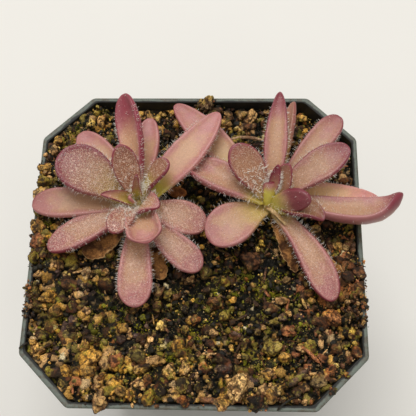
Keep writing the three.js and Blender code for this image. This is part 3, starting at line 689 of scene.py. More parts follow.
def leaf_finish(look):
    """Succulent skin: peach with pink sides, olive at the foot, red margins and curly pale down, with a
    painted highlight along the crest of each rim.
    """
    skin = Finish("leaf_skin", {
        "Subsurface Weight": 0.08, "Subsurface Radius": (1.0, 0.45, 0.3), "Subsurface Scale": 0.0006,
        "Specular IOR Level": 0.45, "Coat Weight": 0.12, "Coat Roughness": 0.3,
    })
    cloud = skin.grain(3, 4)
    blush = (skin.attribute("blush") * 0.9 + (cloud - 0.5) * 1.6).between(0, 0.9)
    base = skin.blend(blush, look.peach[:], look.pink[:])
    base = skin.blend(skin.attribute("mauve"), base, look.mauve[:])
    green = skin.attribute("green") * (0.75 + 0.5 * skin.grain(2.5))
    base = skin.blend(green.between(0, 1), base, look.green[:])
    red = skin.attribute("red") * (0.7 + 0.6 * skin.grain(1.2, 4))
    base = skin.blend(red.between(0, 1), base, look.flush[:])
    # a pale painted highlight along the crest of the rim, in the colour of the down
    base = skin.blend(skin.attribute("crest") * 0.3, base, look.down[:])
    face, down = skin.attribute("face"), skin.attribute("down")
    mottle = skin.grain(0.45, 4, 0.7)
    share = 0.12 + 0.06 * face + 0.25 * down
    base = skin.mottled(base, share, mottle, 0.4, 0.6, (0.66, 0.56, 0.54), (1.3, 1.26, 1.22))
    ridge = abs(skin.grain(0.48, 0) - 0.5)
    curls = (1 - ridge.between(0.02, 0.07)) * down * (1 - 0.7 * red.between(0.1, 0.8))
    gaps = ridge.between(0.07, 0.15) * down
    base = skin.blend(gaps * 0.7, base, skin.blend(0.45, base, look.flush[:]))
    base = skin.blend(curls * 0.85, base, look.down[:])
    # pale dots for the glands, partly their own pale colour and partly painted glints where their droplets
    # catch the light
    glands = skin.dots(1.0, 0.06, 0.12) * down.between(0.15, 0.4)
    base = skin.blend(glands * 0.8, base, look.hair[:])
    # each leaf made lighter or darker by its tone, partly its own colour and partly painted light or shade
    tone = {"Scale": skin.attribute("tone")}
    base = skin.add("ShaderNodeVectorMath", {"operation": "SCALE"}, base, named=tone)
    roughness = 0.36 + 0.14 * face - curls * 0.15
    height = curls * 0.8 + mottle * 0.3 + glands * 0.6
    return skin.feed(base=base, roughness=roughness, normal=skin.bump(height, 0.12, 0.8))


def hair_finish(look):
    """Clear pale hairs with a faint painted glow, which stands in for the light they let through."""
    # the emission is a painted glow in the hairs' own colour
    hair = Finish("leaf_hair", {"Roughness": 0.25, "Specular IOR Level": 0.7, "Emission Color": look.hair[:],
                                "Emission Strength": 0.1})
    cloud = hair.grain(3, 2)
    return hair.feed(base=hair.blend(cloud.between(0.3, 0.7), look.hair[:], colour(238, 224, 210)))


def dry_finish(name, pale, dark, torn=None):
    """Papery dead tissue with dark blotches and fine ribs, and torn edges painted paler: partly their own
    colour, partly a painted glow for the light they let through.
    """
    paper = Finish(name, {"Specular IOR Level": 0.3})
    blotch = paper.grain(3.5, 5, 0.65)
    ribs = paper.grain(0.5, 4, 0.7)
    base = paper.blend(blotch.between(0.42, 0.6), pale, dark)
    base = paper.mottled(base, 0.8, ribs, 0.3, 0.7, (0.5, 0.45, 0.4), (1.3, 1.3, 1.25))
    # the torn edges painted paler, partly their own colour and partly a painted glow
    if torn:
        edge = 1 - (paper.attribute("face") + (ribs - 0.5) * 0.8).between(0.1, 0.5)
        base = paper.blend(edge * 0.8, base, torn)
    return paper.feed(base=base, roughness=0.6 + blotch * 0.3, normal=paper.bump(ribs + blotch, 0.6))


class BUTTERWORT_OT_leaves(bpy.types.Operator):
    """Build the live leaves of both rosettes"""

    bl_idname = "butterwort.leaves"
    bl_label = "Leaves"

    def execute(self, context):
        look = context.scene.butterwort_leaf
        skin = leaf_finish(look)
        for side, crown, leaves, _ in ROSETTES:
            for given in leaves:
                bm = draw_out(Leaf(crown, given), look.sides, look.rings)
                name = given["name"]
                add_piece(f"{side}_{name}_blade", bm, skin, "leaf", f"{side}_leaf_{name}")
        return {"FINISHED"}


class BUTTERWORT_OT_dry_leaves(bpy.types.Operator):
    """Build the dead leaves and stalks under the rosettes"""

    bl_idname = "butterwort.dry_leaves"
    bl_label = "Dry leaves"

    SIDES = 24
    RINGS = 48

    def execute(self, context):
        paper = dry_finish("dry_leaf", colour(186, 130, 74), colour(92, 58, 32), colour(220, 176, 118))
        straw = dry_finish("dry_stalk", colour(222, 190, 140), colour(180, 140, 92))
        for side, crown, _, dry in ROSETTES:
            for given in dry:
                name = given["name"]
                crinkle, material = (0.25, straw) if name == "stalk" else (1.1, paper)
                bm = draw_out(Leaf(crown, given), self.SIDES, self.RINGS, crinkle)
                add_piece(f"{side}_{name}_withered", bm, material, "dry_leaf", f"{side}_dry_{name}")
        return {"FINISHED"}


class BUTTERWORT_OT_crowns(bpy.types.Operator):
    """Build the short stems that carry the leaves"""

    bl_idname = "butterwort.crowns"
    bl_label = "Crowns"

    # Radius and height above the rim, from the root's end up
    PROFILE = [(0, -13), (0.5, -13), (1.1, -10), (1.1, -5), (2.3, -1), (2.3, 2.5), (1.7, 4.4), (0, 5.2)]

    def execute(self, context):
        stem = Finish("crown_flesh", {"Subsurface Weight": 0.15, "Subsurface Scale": 0.001})
        cloud = stem.grain(1.2, 4)
        base = stem.blend(cloud.between(0.35, 0.65), colour(176, 160, 88), colour(150, 116, 66))
        flesh = stem.feed(base=base, roughness=0.4 + cloud * 0.3, normal=stem.bump(cloud, 0.3))
        for side, (x, y), _, _ in ROSETTES:
            bm = bmesh.new()
            verts = [bm.verts.new((r, 0, z)) for r, z in self.PROFILE]
            edges = [bm.edges.new(pair) for pair in zip(verts, verts[1:])]
            bmesh.ops.spin(bm, geom=verts + edges, cent=(0, 0, 0), axis=(0, 0, 1), angle=2 * math.pi,
                           steps=32, use_merge=True)
            bmesh.ops.remove_doubles(bm, verts=bm.verts, dist=0.001)
            bmesh.ops.subdivide_edges(bm, edges=bm.edges, cuts=1, use_grid_fill=True)
            for vert in bm.verts:
                vert.co += vert.co * (0.06 * noise.noise(vert.co * 0.9))
            bmesh.ops.translate(bm, verts=bm.verts, vec=(x, y, RIM))
            bmesh.ops.recalc_face_normals(bm, faces=bm.faces)
            add_piece(f"{side}_stem", bm, flesh, "crown", f"{side}_crown")
        return {"FINISHED"}


def hair_form(sides, heights, widths, bend=0.0):
    """A hair one high: a sphere whose rings, from the foot up, get their heights and half widths."""
    bm = bmesh.new()
    bmesh.ops.create_uvsphere(bm, u_segments=sides, v_segments=len(heights) - 1, radius=1)
    levels = sorted({round(vert.co.z, 3) for vert in bm.verts})
    for vert in bm.verts:
        ring = levels.index(round(vert.co.z, 3))
        flat = Vector((vert.co.x, vert.co.y, 0))
        if widths[ring] > 0:
            flat = flat.normalized() * widths[ring]
        vert.co = flat + Vector((0, 0, heights[ring]))
    max(bm.verts, key=lambda vert: vert.co.z).co.x += bend
    return unit_mesh(bm)


def drawn(count, pick):
    """That many draws as an array."""
    return np.array([pick() for _ in range(count)])


class BUTTERWORT_OT_hairs(bpy.types.Operator):
    """Set the hairs on the leaves: glands on the faces, bristles on the margins and wool at the crowns"""

    bl_idname = "butterwort.hairs"
    bl_label = "Hairs"

    # Hairs of wool at each crown, how far from its axis and how high above the rim they start, and how long
    # they are
    WOOL = {"left": 60, "right": 30}
    WOOL_SPREAD = (0.4, 4.6)
    WOOL_HEIGHT = (4.2, 7.5)
    WOOL_LENGTH = (0.8, 2.0)
    # The share of length times width that counts as a leaf's face, and how deep a hair stands in the skin
    FACE_SHARE = 0.4
    SUNK = 0.03

    def face_hairs(self, leaf, draw, look):
        """Places of the short glands on one leaf's face."""
        count = int(leaf.fuzz * leaf.width * leaf.length * self.FACE_SHARE)
        t = drawn(count, lambda: draw.uniform(0.08, 0.98))
        points, out = leaf.skin(t, drawn(count, lambda: math.acos(draw.uniform(-0.97, 0.97))))
        lean = drawn(count, lambda: [draw.gauss(0, 0.3) for _ in range(3)])
        lengths = look.fuzz_length / MM * drawn(count, lambda: draw.uniform(0.6, 1.3))
        lengths *= 1 + 0.9 * (1 - smoothstep(t, 0.1, 0.5))
        widths = np.full(count, 0.8 * look.hair_width / MM)
        return stand(points - out * self.SUNK, out + lean, lengths, widths)

    def fleece_hairs(self, leaf, draw, look):
        """Places of the long curly hairs at one leaf's foot."""
        count = leaf.fleece
        t = drawn(count, lambda: draw.uniform(0.12, 0.55))
        points, out = leaf.skin(t, drawn(count, lambda: math.acos(draw.uniform(-1, 1))))
        lean = drawn(count, lambda: [draw.gauss(0, 0.7) for _ in range(3)])
        lengths = look.fringe_length / MM * drawn(count, lambda: draw.uniform(0.6, 1.4))
        widths = np.full(count, 2 * look.hair_width / MM)
        return stand(points - out * self.SUNK, out + lean, lengths, widths)

    def margin_hairs(self, leaf, draw, look):
        """Places of the long bristles on one leaf's two margins."""
        count = int(leaf.fringe * leaf.length * 2)
        t = drawn(count, lambda: draw.uniform(0.1, 0.86))
        angle = drawn(count, lambda: draw.gauss(0.25, 0.22))
        flip = drawn(count, lambda: draw.random() < 0.5)
        points, out = leaf.skin(t, np.where(flip, math.pi - angle, angle))
        lean = drawn(count, lambda: [draw.gauss(0, 0.22), draw.gauss(0, 0.22), draw.gauss(0.2, 0.2)])
        lengths = look.fringe_length / MM * drawn(count, lambda: draw.uniform(0.5, 1.25))
        lengths *= 1.15 - 0.7 * t
        widths = np.full(count, look.hair_width / MM)
        return stand(points - out * self.SUNK, out + lean, lengths, widths)

    def wool(self, side, crown, draw, look):
        """Places of the long tangled hairs around a crown."""
        points, ways, lengths = [], [], []
        for _ in range(self.WOOL[side]):
            turn = draw.uniform(0, 2 * math.pi)
            out = np.array([math.cos(turn), math.sin(turn)])
            x, y = crown + draw.uniform(*self.WOOL_SPREAD) * out
            points.append((x, y, RIM + draw.uniform(*self.WOOL_HEIGHT)))
            ways.append((draw.gauss(0.5 * out[0], 0.5), draw.gauss(0.5 * out[1], 0.5), draw.uniform(0.3, 1)))
            lengths.append(draw.uniform(*self.WOOL_LENGTH))
        widths = np.full(len(lengths), look.hair_width / MM)
        return stand(np.array(points), np.array(ways), np.array(lengths), widths)

    def execute(self, context):
        look = context.scene.butterwort_leaf
        material = hair_finish(look)
        gland = hair_form(4, [0, 0.03, 0.7, 0.88, 1], [0, 0.4, 0.24, 0.75, 0])
        bristle = hair_form(3, [0, 0.02, 0.55, 1], [0, 0.5, 0.34, 0], bend=1.6)
        for side, crown, leaves, _ in ROSETTES:
            draw = Random(f"hairs of the {side} rosette")
            faces, margins = [], [self.wool(side, crown, draw, look)]
            for given in leaves:
                leaf = Leaf(crown, given)
                faces.append(self.face_hairs(leaf, draw, look))
                margins.append(self.margin_hairs(leaf, draw, look))
                if leaf.fleece:
                    margins.append(self.fleece_hairs(leaf, draw, look))
            groups = []
            for unit, places in ((gland, np.concatenate(faces)), (bristle, np.concatenate(margins))):
                groups.append((unit, places, np.tile(look.hair[:], (len(places), 1))))
            add_piece(f"{side}_hairs", copies(f"{side}_hairs", groups), material, "leaf")
        return {"FINISHED"}


def mix_height(x, y):
    """Height of the bare mix above the rim, as in the CAD part, for numbers or arrays."""
    backward = smoothstep(y, 0.3 * POT_HALF, 0.95 * POT_HALF)
    ripple = np.sin(x * 0.31 + 1) * np.cos(y * 0.27) + 0.6 * np.sin(x * 0.62 - y * 0.53)
    nearest = np.min([np.hypot(x - u, y - v) for u, v, _, _ in LUMPS], axis=0)
    heap = np.exp(-((nearest / HEAP_SPREAD) ** 2))
    return MIX_LEVEL - BACK_DROP * backward * (1 - heap) + MIX_RIPPLE * ripple + HEAP_HEIGHT * heap


def past_corner(x, y, half):
    """Whether a place lies over the cut corners of a square with that half width."""
    return abs(x) + abs(y) > 2 * half - CORNER_CUT


def fine_height(x, y):
    """Height of the fine ground: the bare mix, filled up to the rim except at the back."""
    cut = (np.abs(x) + np.abs(y)) / CORNER_REACH
    edge = smoothstep(np.maximum(np.maximum(np.abs(x), np.abs(y)), cut), 30, 38)
    back = smoothstep(y, 18, 34) * smoothstep(x, -30, -16)
    return mix_height(x, y) + edge * (1 - back) * (1.1 + 1.2 * smoothstep(y, 10, 30))


class StoneDraw:
    """The CAD part's repeatable draw, so that each fine stone lies where its CAD stone does."""

    def __init__(self, seed):
        self.state = seed

    def __call__(self):
        self.state = (self.state * 1664525 + 1013904223) % 4294967296
        return self.state / 4294967296


def lighter(paint):
    """The same colour a third brighter, as the largest stones are the cleanest."""
    return (*(1.35 * channel for channel in paint[:3]), 1.0)


def stones_of_the_mix():
    """Every stone: x, y, radius, whether it is one of the large ones, its turn and place, and its colour."""
    draw = StoneDraw(SEED)
    tone = Random("stone colours")
    placed = [(x, y, size, True, lighter(paint)) for x, y, size, paint in STONES]
    inner = POT_HALF - WALL
    while len(placed) < GRIT_COUNT:
        size = SMALLEST_GRIT + (LARGEST_GRIT - SMALLEST_GRIT) * draw() ** 2
        x = (2 * draw() - 1) * (inner - size)
        y = (2 * draw() - 1) * (inner - size)
        crowded = any(math.hypot(u - x, v - y) < GRIT_SPACING * (other + size) for u, v, other, *_ in placed)
        if past_corner(x, y, inner - size / math.sqrt(2)) or crowded:
            continue
        placed.append((x, y, size, False, pick_colour(tone, x, y, fine=False)))
    stones = []
    for x, y, size, large, paint in placed + [(x, y, size, True, paint) for x, y, size, paint in LUMPS]:
        squeeze = [1 - GRIT_SQUEEZE * draw() for _ in range(3)]
        turns = [(draw() - 0.5) * math.pi, (draw() - 0.5) * math.pi, 2 * draw() * math.pi]
        over_rim = len(stones) >= GRIT_COUNT
        z = RIM + GRIT_LIFT * size + (0 if over_rim else float(mix_height(x, y)))
        place = Matrix.Translation((x, y, z))
        for angle, axis in zip(reversed(turns), "ZYX"):
            place = place @ Matrix.Rotation(angle, 4, axis)
        stones.append((x, y, size, large, place @ Matrix.Diagonal((*squeeze, 1)), paint))
    return stones


def pick_colour(draw, x, y, fine=True):
    """A grain's colour by where it lies: dark in the middle, golden at the left and rusty at the right."""
    edge = float(smoothstep(max(abs(x), abs(y)), 14, 36))
    right = float(smoothstep(x, 18, 34))
    left = float(smoothstep(-x, 5, 30))
    front = float(smoothstep(-y, -12, 6))
    moss = max(thick * math.exp(-((x - u) ** 2 + (y - v) ** 2) / spread**2)
               for u, v, spread, thick in CUSHIONS)
    weights = {
        PEAT: (2.8 if fine else 0.3) * (1.25 - 0.7 * edge), UMBER: 0.9, BROWN: 0.4 + 0.7 * right,
        RUST: 0.08 + 0.7 * right, TAN: 0.3 + 0.6 * edge * (1 - 0.6 * right),
        GOLD: 0.25 + 0.8 * left * edge * front, OLIVE: 0.35 + 0.8 * moss + 0.4 * left * (1 - front),
        LEAF_GREEN: 0.5 * moss if fine else 0, PALE: 0.06 + 0.12 * edge, PLUM: 0.25,
        QUARTZ: 0.05 if fine else 0, FLAKE: 0.14 if fine else 0,
    }
    paint = draw.choices(list(weights), list(weights.values()))[0]
    shade = draw.uniform(0.6, 1.25)
    return (*(channel * shade for channel in paint[:3]), 1.0)


def block(name, cuts=13, round_off=9):
    """A broken stone of about radius one: how far its surface lies along each way, as a function."""
    draw = Random(name)
    faces = []
    for axis in range(3):
        for sign in (-1, 1):
            face = Vector([sign * (other == axis) for other in range(3)])
            faces.append((face, draw.uniform(0.85, 1.05)))
    for _ in range(cuts):
        face = Vector([draw.gauss(0, 1) for _ in range(3)]).normalized()
        faces.append((face, draw.uniform(0.72, 1.1)))

    def reach(way):
        return sum(max(0, face.dot(way) / far) ** round_off for face, far in faces) ** (-1 / round_off)

    return reach


def crags(name, ways, size):
    """How far a pitted stone of that size reaches along each way, and how deep each point lies between its
    knobs, which sets the painted shade there.
    """
    reach = block(name)
    offset = Vector([Random(name).uniform(-50, 50) for _ in range(3)])
    for way in ways:
        rough = 0.26 * noise.fractal(way * 1.4 + offset, 1, 2, 3)
        near = noise.voronoi(way * size * 0.75 + offset)[0][0]
        dome = max(0, 1 - (near / 0.75) ** 2)
        fine = noise.noise(way * size * 3 + offset)
        pit_shade = min(1, max(0, 1 - 2.2 * dome - 0.5 * fine))
        yield reach(way) + rough + 0.2 * (dome - 0.5) + 0.06 * fine, pit_shade


def stained(finish, base, size, share):
    """Peat in blots of about that size, which hides where one stone ends and the next begins."""
    blots = finish.grain(size, 5, 0.72).between(0.49, 0.57)
    return finish.blend(blots * share, base, colour(44, 33, 20))


def weathered(finish, base):
    """Yellow algae and damp peat, which cover whole patches of the mix."""
    algae = finish.grain(6, 4).between(0.46, 0.58)
    base = finish.blend(algae * 0.8, base, (1.0, 0.92, 0.42, 1), "MULTIPLY")
    lush = finish.grain(2.2, 5, 0.75).between(0.53, 0.62) * algae
    base = finish.blend(lush * 0.6, base, colour(178, 166, 56))
    damp = (1 - finish.grain(8, 5, 0.65)).between(0.5, 0.6)
    return finish.blend(damp * 0.85, base, (0.3, 0.28, 0.26, 1), "MULTIPLY")


def painted_flank_shade(finish, base):
    """Painted shade on the flanks and undersides, darker as the surface turns down, so that a stone stands
    out from its neighbours.
    """
    upward = finish.add("ShaderNodeNewGeometry", output="Normal")
    flank_shade = 1 - (finish.part("Z", upward) + (finish.grain(1.2, 3) - 0.5) * 1.2).between(0.15, 0.7)
    return finish.blend(flank_shade * 0.9, base, (0.24, 0.18, 0.13, 1), "MULTIPLY")


def stone_finish():
    """Baked clay and pumice: the stone's own colour, with stains, painted shade in its pits and on its
    flanks, and a film of algae.
    """
    stone = Finish("stone", {"Specular IOR Level": 0.35})
    tint = stone.attribute("tint", "Color")
    patch = stone.grain(1.9, 4, 0.65)
    speck = stone.grain(0.45, 4, 0.7)
    base = stone.mottled(tint, 0.7, speck, 0.36, 0.62, (0.4, 0.32, 0.24), (1.8, 1.66, 1.4))
    base = stone.blend(patch.between(0.5, 0.6) * 0.8, base, colour(112, 62, 28))
    base = stone.blend((1 - patch).between(0.54, 0.64) * 0.55, base, colour(226, 190, 118))
    # painted shade in the pits, darkest where a point lies deepest between the knobs
    pits = stone.attribute("pit_shade") * (0.6 + 0.8 * speck)
    base = stone.blend(pits.between(0.15, 0.8) * 0.85, base, colour(48, 30, 18))
    # painted shade on the stones' flanks and undersides, over peat stains in blots
    base = painted_flank_shade(stone, stained(stone, base, 1.3, 0.72))
    clean = stone.add("ShaderNodeSeparateColor", {}, tint, output="Red").between(0.85, 1)
    base = stone.blend(clean * 0.8, weathered(stone, base), base)
    return stone.feed(base=base, roughness=0.55 + speck * 0.3, normal=stone.bump(speck, 0.5))


def grain_finish():
    """Small grains: their own colour with a little mottling, peat stains, algae and painted shade on their
    flanks.
    """
    grain = Finish("grain", {"Specular IOR Level": 0.4})
    speck = grain.grain(0.3, 3, 0.7)
    tint = grain.attribute("tint", "Color")
    base = grain.mottled(tint, 0.85, speck, 0.38, 0.62, (0.28, 0.23, 0.18), (2.1, 1.95, 1.7))
    # painted shade on the grains' flanks and undersides, over peat stains in blots
    base = painted_flank_shade(grain, stained(grain, base, 1.0, 0.6))
    base = weathered(grain, base)
    return grain.feed(base=base, roughness=0.35 + speck * 0.4, normal=grain.bump(speck, 0.2))


def peat_finish(look):
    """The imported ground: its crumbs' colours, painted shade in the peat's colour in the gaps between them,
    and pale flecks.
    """
    peat = Finish("peat", {"Specular IOR Level": 0.3})
    crumbs = peat.grain(0.35, 5, 0.75)
    tint = peat.attribute("tint", "Color")
    base = peat.mottled(tint, 0.8, crumbs, 0.36, 0.64, (0.3, 0.25, 0.2), (1.6, 1.5, 1.4))
    # painted shade in the gaps: the deeper a point lies below its neighbours, the nearer the dark peat it
    # gets
    gaps = peat.attribute("pit_shade") * (0.7 + 0.6 * crumbs)
    base = peat.blend(gaps.between(0.05, 0.55) * 0.97, base, look.peat[:])
    flecks = peat.dots(0.5, 0.12, 0.26) * peat.grain(4, 3).between(0.42, 0.55)
    base = weathered(peat, peat.blend(flecks * 0.8, base, colour(206, 178, 116)))
    return peat.feed(base=base, roughness=0.35 + crumbs * 0.45, normal=peat.bump(crumbs, 0.4))


def moss_finish():
    """Moss: the tuft's own colour, a little clouded, and it lets some light through."""
    moss = Finish("moss", {"Specular IOR Level": 0.3, "Subsurface Weight": 0.1, "Subsurface Scale": 0.0005})
    cloud = moss.grain(0.8, 3)
    tint = moss.attribute("tint", "Color")
    base = moss.mottled(tint, 0.8, cloud, 0.3, 0.7, (0.55, 0.55, 0.5), (1.3, 1.3, 1.2))
    return moss.feed(base=base, roughness=0.5 + cloud * 0.3)


def waves(x, y, size, seed):
    """A cheap ripple over the plane with spots of about that size, from minus one to one."""
    draw = Random(f"waves {seed}")
    total = 0
    for _ in range(7):
        turn = draw.uniform(0, 2 * math.pi)
        pace = 2 * math.pi / (size * draw.uniform(1.2, 3))
        total = total + np.sin(pace * (x * math.cos(turn) + y * math.sin(turn)) + draw.uniform(0, 6.28))
    return total / 4


class Ground:
    """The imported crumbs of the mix, as heights and colours on a fine square lattice."""

    # The lattice's step, the crumbs' radii, and how deep the peat under them lies, in millimetres
    STEP = 0.2
    SMALLEST = 0.3
    LARGEST = 1.7
    DEPTH = 1.6

    def __init__(self, count):
        draw = Random("crumbs")
        line = np.arange(-SOIL_HALF, SOIL_HALF + self.STEP, self.STEP)
        self.x, self.y = np.meshgrid(line, line, indexing="ij")
        shape = self.x.shape
        self.height = fine_height(self.x, self.y) - self.DEPTH
        self.tint = np.tile(PEAT[:3], (*shape, 1)).astype(float)
        bend_x = 0.35 * waves(self.x, self.y, 1.1, "x") + 0.16 * waves(self.x, self.y, 0.5, "fine x")
        bend_y = 0.35 * waves(self.x, self.y, 1.1, "y") + 0.16 * waves(self.x, self.y, 0.5, "fine y")
        for _ in range(count):
            x, y = draw.uniform(-SOIL_HALF, SOIL_HALF), draw.uniform(-SOIL_HALF, SOIL_HALF)
            size = self.SMALLEST + (self.LARGEST - self.SMALLEST) * draw.random() ** 2.2 * stoniness(x, y)
            paint = np.array(pick_colour(draw, x, y)[:3])
            dark = float(paint.sum() < 0.2)
            foot = float(fine_height(x, y)) + draw.uniform(-1.5, -0.1) - 0.25 * size - 0.3 * dark
            turn = draw.uniform(0, math.pi)
            slim = draw.uniform(0.5, 1)
            i0, i1 = (int((edge + SOIL_HALF) / self.STEP) for edge in (x - size, x + size))
            j0, j1 = (int((edge + SOIL_HALF) / self.STEP) for edge in (y - size, y + size))
            part = (slice(max(0, i0 - 2), i1 + 3), slice(max(0, j0 - 2), j1 + 3))
            u = self.x[part] - x + bend_x[part] * min(1, size)
            v = self.y[part] - y + bend_y[part] * min(1, size)
            along = u * math.cos(turn) + v * math.sin(turn)
            across = (v * math.cos(turn) - u * math.sin(turn)) / slim
            near = (along**2 + across**2) / size**2
            top = foot + size * 1.05 * np.sqrt(np.clip(1 - near**1.5, 0, 1))
            wins = (near < 1) & (top > self.height[part])
            self.height[part][wins] = top[wins]
            self.tint[part][wins] = paint
        # how far each point lies below its blurred neighbours, for painted shade in the gaps
        soft = self.height
        for axis in (0, 1):
            soft = sum(np.roll(soft, shift, axis) for shift in range(-6, 7)) / 13
        self.pit_shade = smoothstep(soft - self.height, -0.25, 0.5)

    def at(self, points):
        """The height, colour and depth in a gap at each point, the depth for the painted shade in the gaps.
        """
        i, j = (np.clip(np.rint((points[:, axis] + SOIL_HALF) / self.STEP).astype(int), 0, len(self.x) - 1)
                for axis in (0, 1))
        return self.height[i, j], self.tint[i, j], self.pit_shade[i, j]


def stoniness(x, y):
    """How coarse the mix is at a place: coarse round the edge and at the left, fine in the middle."""
    edge = float(smoothstep(max(abs(x), abs(y)), 12, 34))
    return min(1, 0.35 + 0.5 * edge + 0.4 * float(smoothstep(-x, 4, 24)) * float(smoothstep(-y, 0, 14)))


class BUTTERWORT_OT_soil(bpy.types.Operator):
    """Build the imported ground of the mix, which fills the pot"""

    bl_idname = "butterwort.soil"
    bl_label = "Soil"

    # Cells along a side, and how much less than the pot's inside its corners are cut
    CELLS = 285
    CORNER_SPARE = 0.8

    def execute(self, context):
        look = context.scene.butterwort_mix
        bm = bmesh.new()
        bmesh.ops.create_grid(bm, x_segments=self.CELLS, y_segments=self.CELLS, size=SOIL_HALF)
        corner = SOIL_HALF + (self.CORNER_SPARE - CORNER_CUT) / 2
        for x in (-1, 1):
            for y in (-1, 1):
                geometry = bm.verts[:] + bm.edges[:] + bm.faces[:]
                bmesh.ops.bisect_plane(bm, geom=geometry, dist=0.001, plane_no=(x, y, 0), clear_outer=True,
                                       plane_co=(x * corner, y * corner, 0))
        tint = bm.verts.layers.float_color.new("tint")
        pit_shade = bm.verts.layers.float.new("pit_shade")
        flat = np.array([vert.co for vert in bm.verts])
        for vert, level, paint, deep in zip(bm.verts, *Ground(look.crumbs).at(flat)):
            vert.co.z = RIM + level
            vert[tint] = (*paint, 1)
            vert[pit_shade] = deep
        rim = [edge for edge in bm.edges if edge.is_boundary]
        walls = bmesh.ops.extrude_edge_only(bm, edges=rim)["geom"]
        foot = [vert for vert in walls if isinstance(vert, bmesh.types.BMVert)]
        shrink = FOOT_HALF / SOIL_HALF
        for vert in foot:
            vert.co = (vert.co.x * shrink, vert.co.y * shrink, FLOOR_TOP)
        ring = [edge for edge in walls if isinstance(edge, bmesh.types.BMEdge)]
        bmesh.ops.edgeloop_fill(bm, edges=ring)
        bmesh.ops.recalc_face_normals(bm, faces=bm.faces)
        add_piece("soil", bm, peat_finish(look), "mix", "mix")
        return {"FINISHED"}


class BUTTERWORT_OT_stones(bpy.types.Operator):
    """Build the stones that the CAD mix holds, each as a pitted fine stone, and the rubble between them"""

    bl_idname = "butterwort.stones"
    bl_label = "Stones"

    # The size of a fine stone as a share of its CAD stone's, with a little more for what its pits take away
    LARGE_REACH = 1.02
    SMALL_REACH = 1.15

    def shape(self, bm, name, level, size, place, paint):
        made = bmesh.ops.create_icosphere(bm, subdivisions=level, radius=1)["verts"]
        ways = [vert.co.normalized() for vert in made]
        for vert, way, (reach, deep) in zip(made, ways, crags(name, ways, size)):
            vert.co = place @ (way * reach * size)
            vert[bm.verts.layers.float_color["tint"]] = paint
            vert[bm.verts.layers.float["pit_shade"]] = deep

    def start(self):
        bm = bmesh.new()
        bm.verts.layers.float_color.new("tint")
        bm.verts.layers.float.new("pit_shade")
        return bm

    def execute(self, context):
        look = context.scene.butterwort_mix
        finish = stone_finish()
        stones = stones_of_the_mix()
        bm = self.start()
        for index, (_, _, size, large, place, paint) in enumerate(stones):
            reach = size * (self.LARGE_REACH if large else self.SMALL_REACH * GRIT_BREADTH / 2)
            self.shape(bm, f"stone {index}", 4 if large else 3, reach, place, paint)
        add_piece("stones", bm, finish, "mix", "mix")
        bm = self.start()
        draw = Random("rubble")
        made = 0
        while made < look.rubble:
            x, y, z = free_spot(draw, stones)
            if draw.random() > stoniness(x, y) ** 2:
                continue
            size = draw.uniform(*RUBBLE_SIZE)
            place = random_place(draw, x, y, z + draw.uniform(-0.4, 0.5), 1)
            self.shape(bm, f"rubble {made}", 3, size, place, pick_colour(draw, x, y, fine=False))
            made += 1
        add_piece("rubble", bm, finish, "mix")
        return {"FINISHED"}


def grain_units(subdivisions, kinds):
    """Some broken grains of radius one."""
    units = []
    for kind in range(kinds):
        bm = bmesh.new()
        bmesh.ops.create_icosphere(bm, subdivisions=subdivisions, radius=1)
        reach = block(f"grain {subdivisions} {kind}", 8, 14)
        for vert in bm.verts:
            vert.co = vert.co * (reach(vert.co.normalized()) + 0.25 * noise.noise(vert.co * 2.3))
        units.append(unit_mesh(bm))
    return units


def free_spot(draw, stones):
    """A place on the open mix that no stone of the CAD part covers, as x, y and height."""
    while True:
        x = draw.uniform(-SOIL_HALF, SOIL_HALF)
        y = draw.uniform(-SOIL_HALF, SOIL_HALF)
        if past_corner(x, y, SOIL_HALF):
            continue
        if all(math.hypot(u - x, v - y) > 0.72 * size for u, v, size, *_ in stones):
            return x, y, RIM + float(fine_height(x, y))


def random_place(draw, x, y, z, size, flat=0.5):
    """A place for a grain: turned at random, and squeezed by up to flat."""
    place = Matrix.Translation((x, y, z))
    for axis in "XYZ":
        place = place @ Matrix.Rotation(draw.uniform(0, 2 * math.pi), 4, axis)
    squeeze = [size * (1 - flat * draw.random()) for _ in range(3)]
    return place @ Matrix.Diagonal((*squeeze, 1))


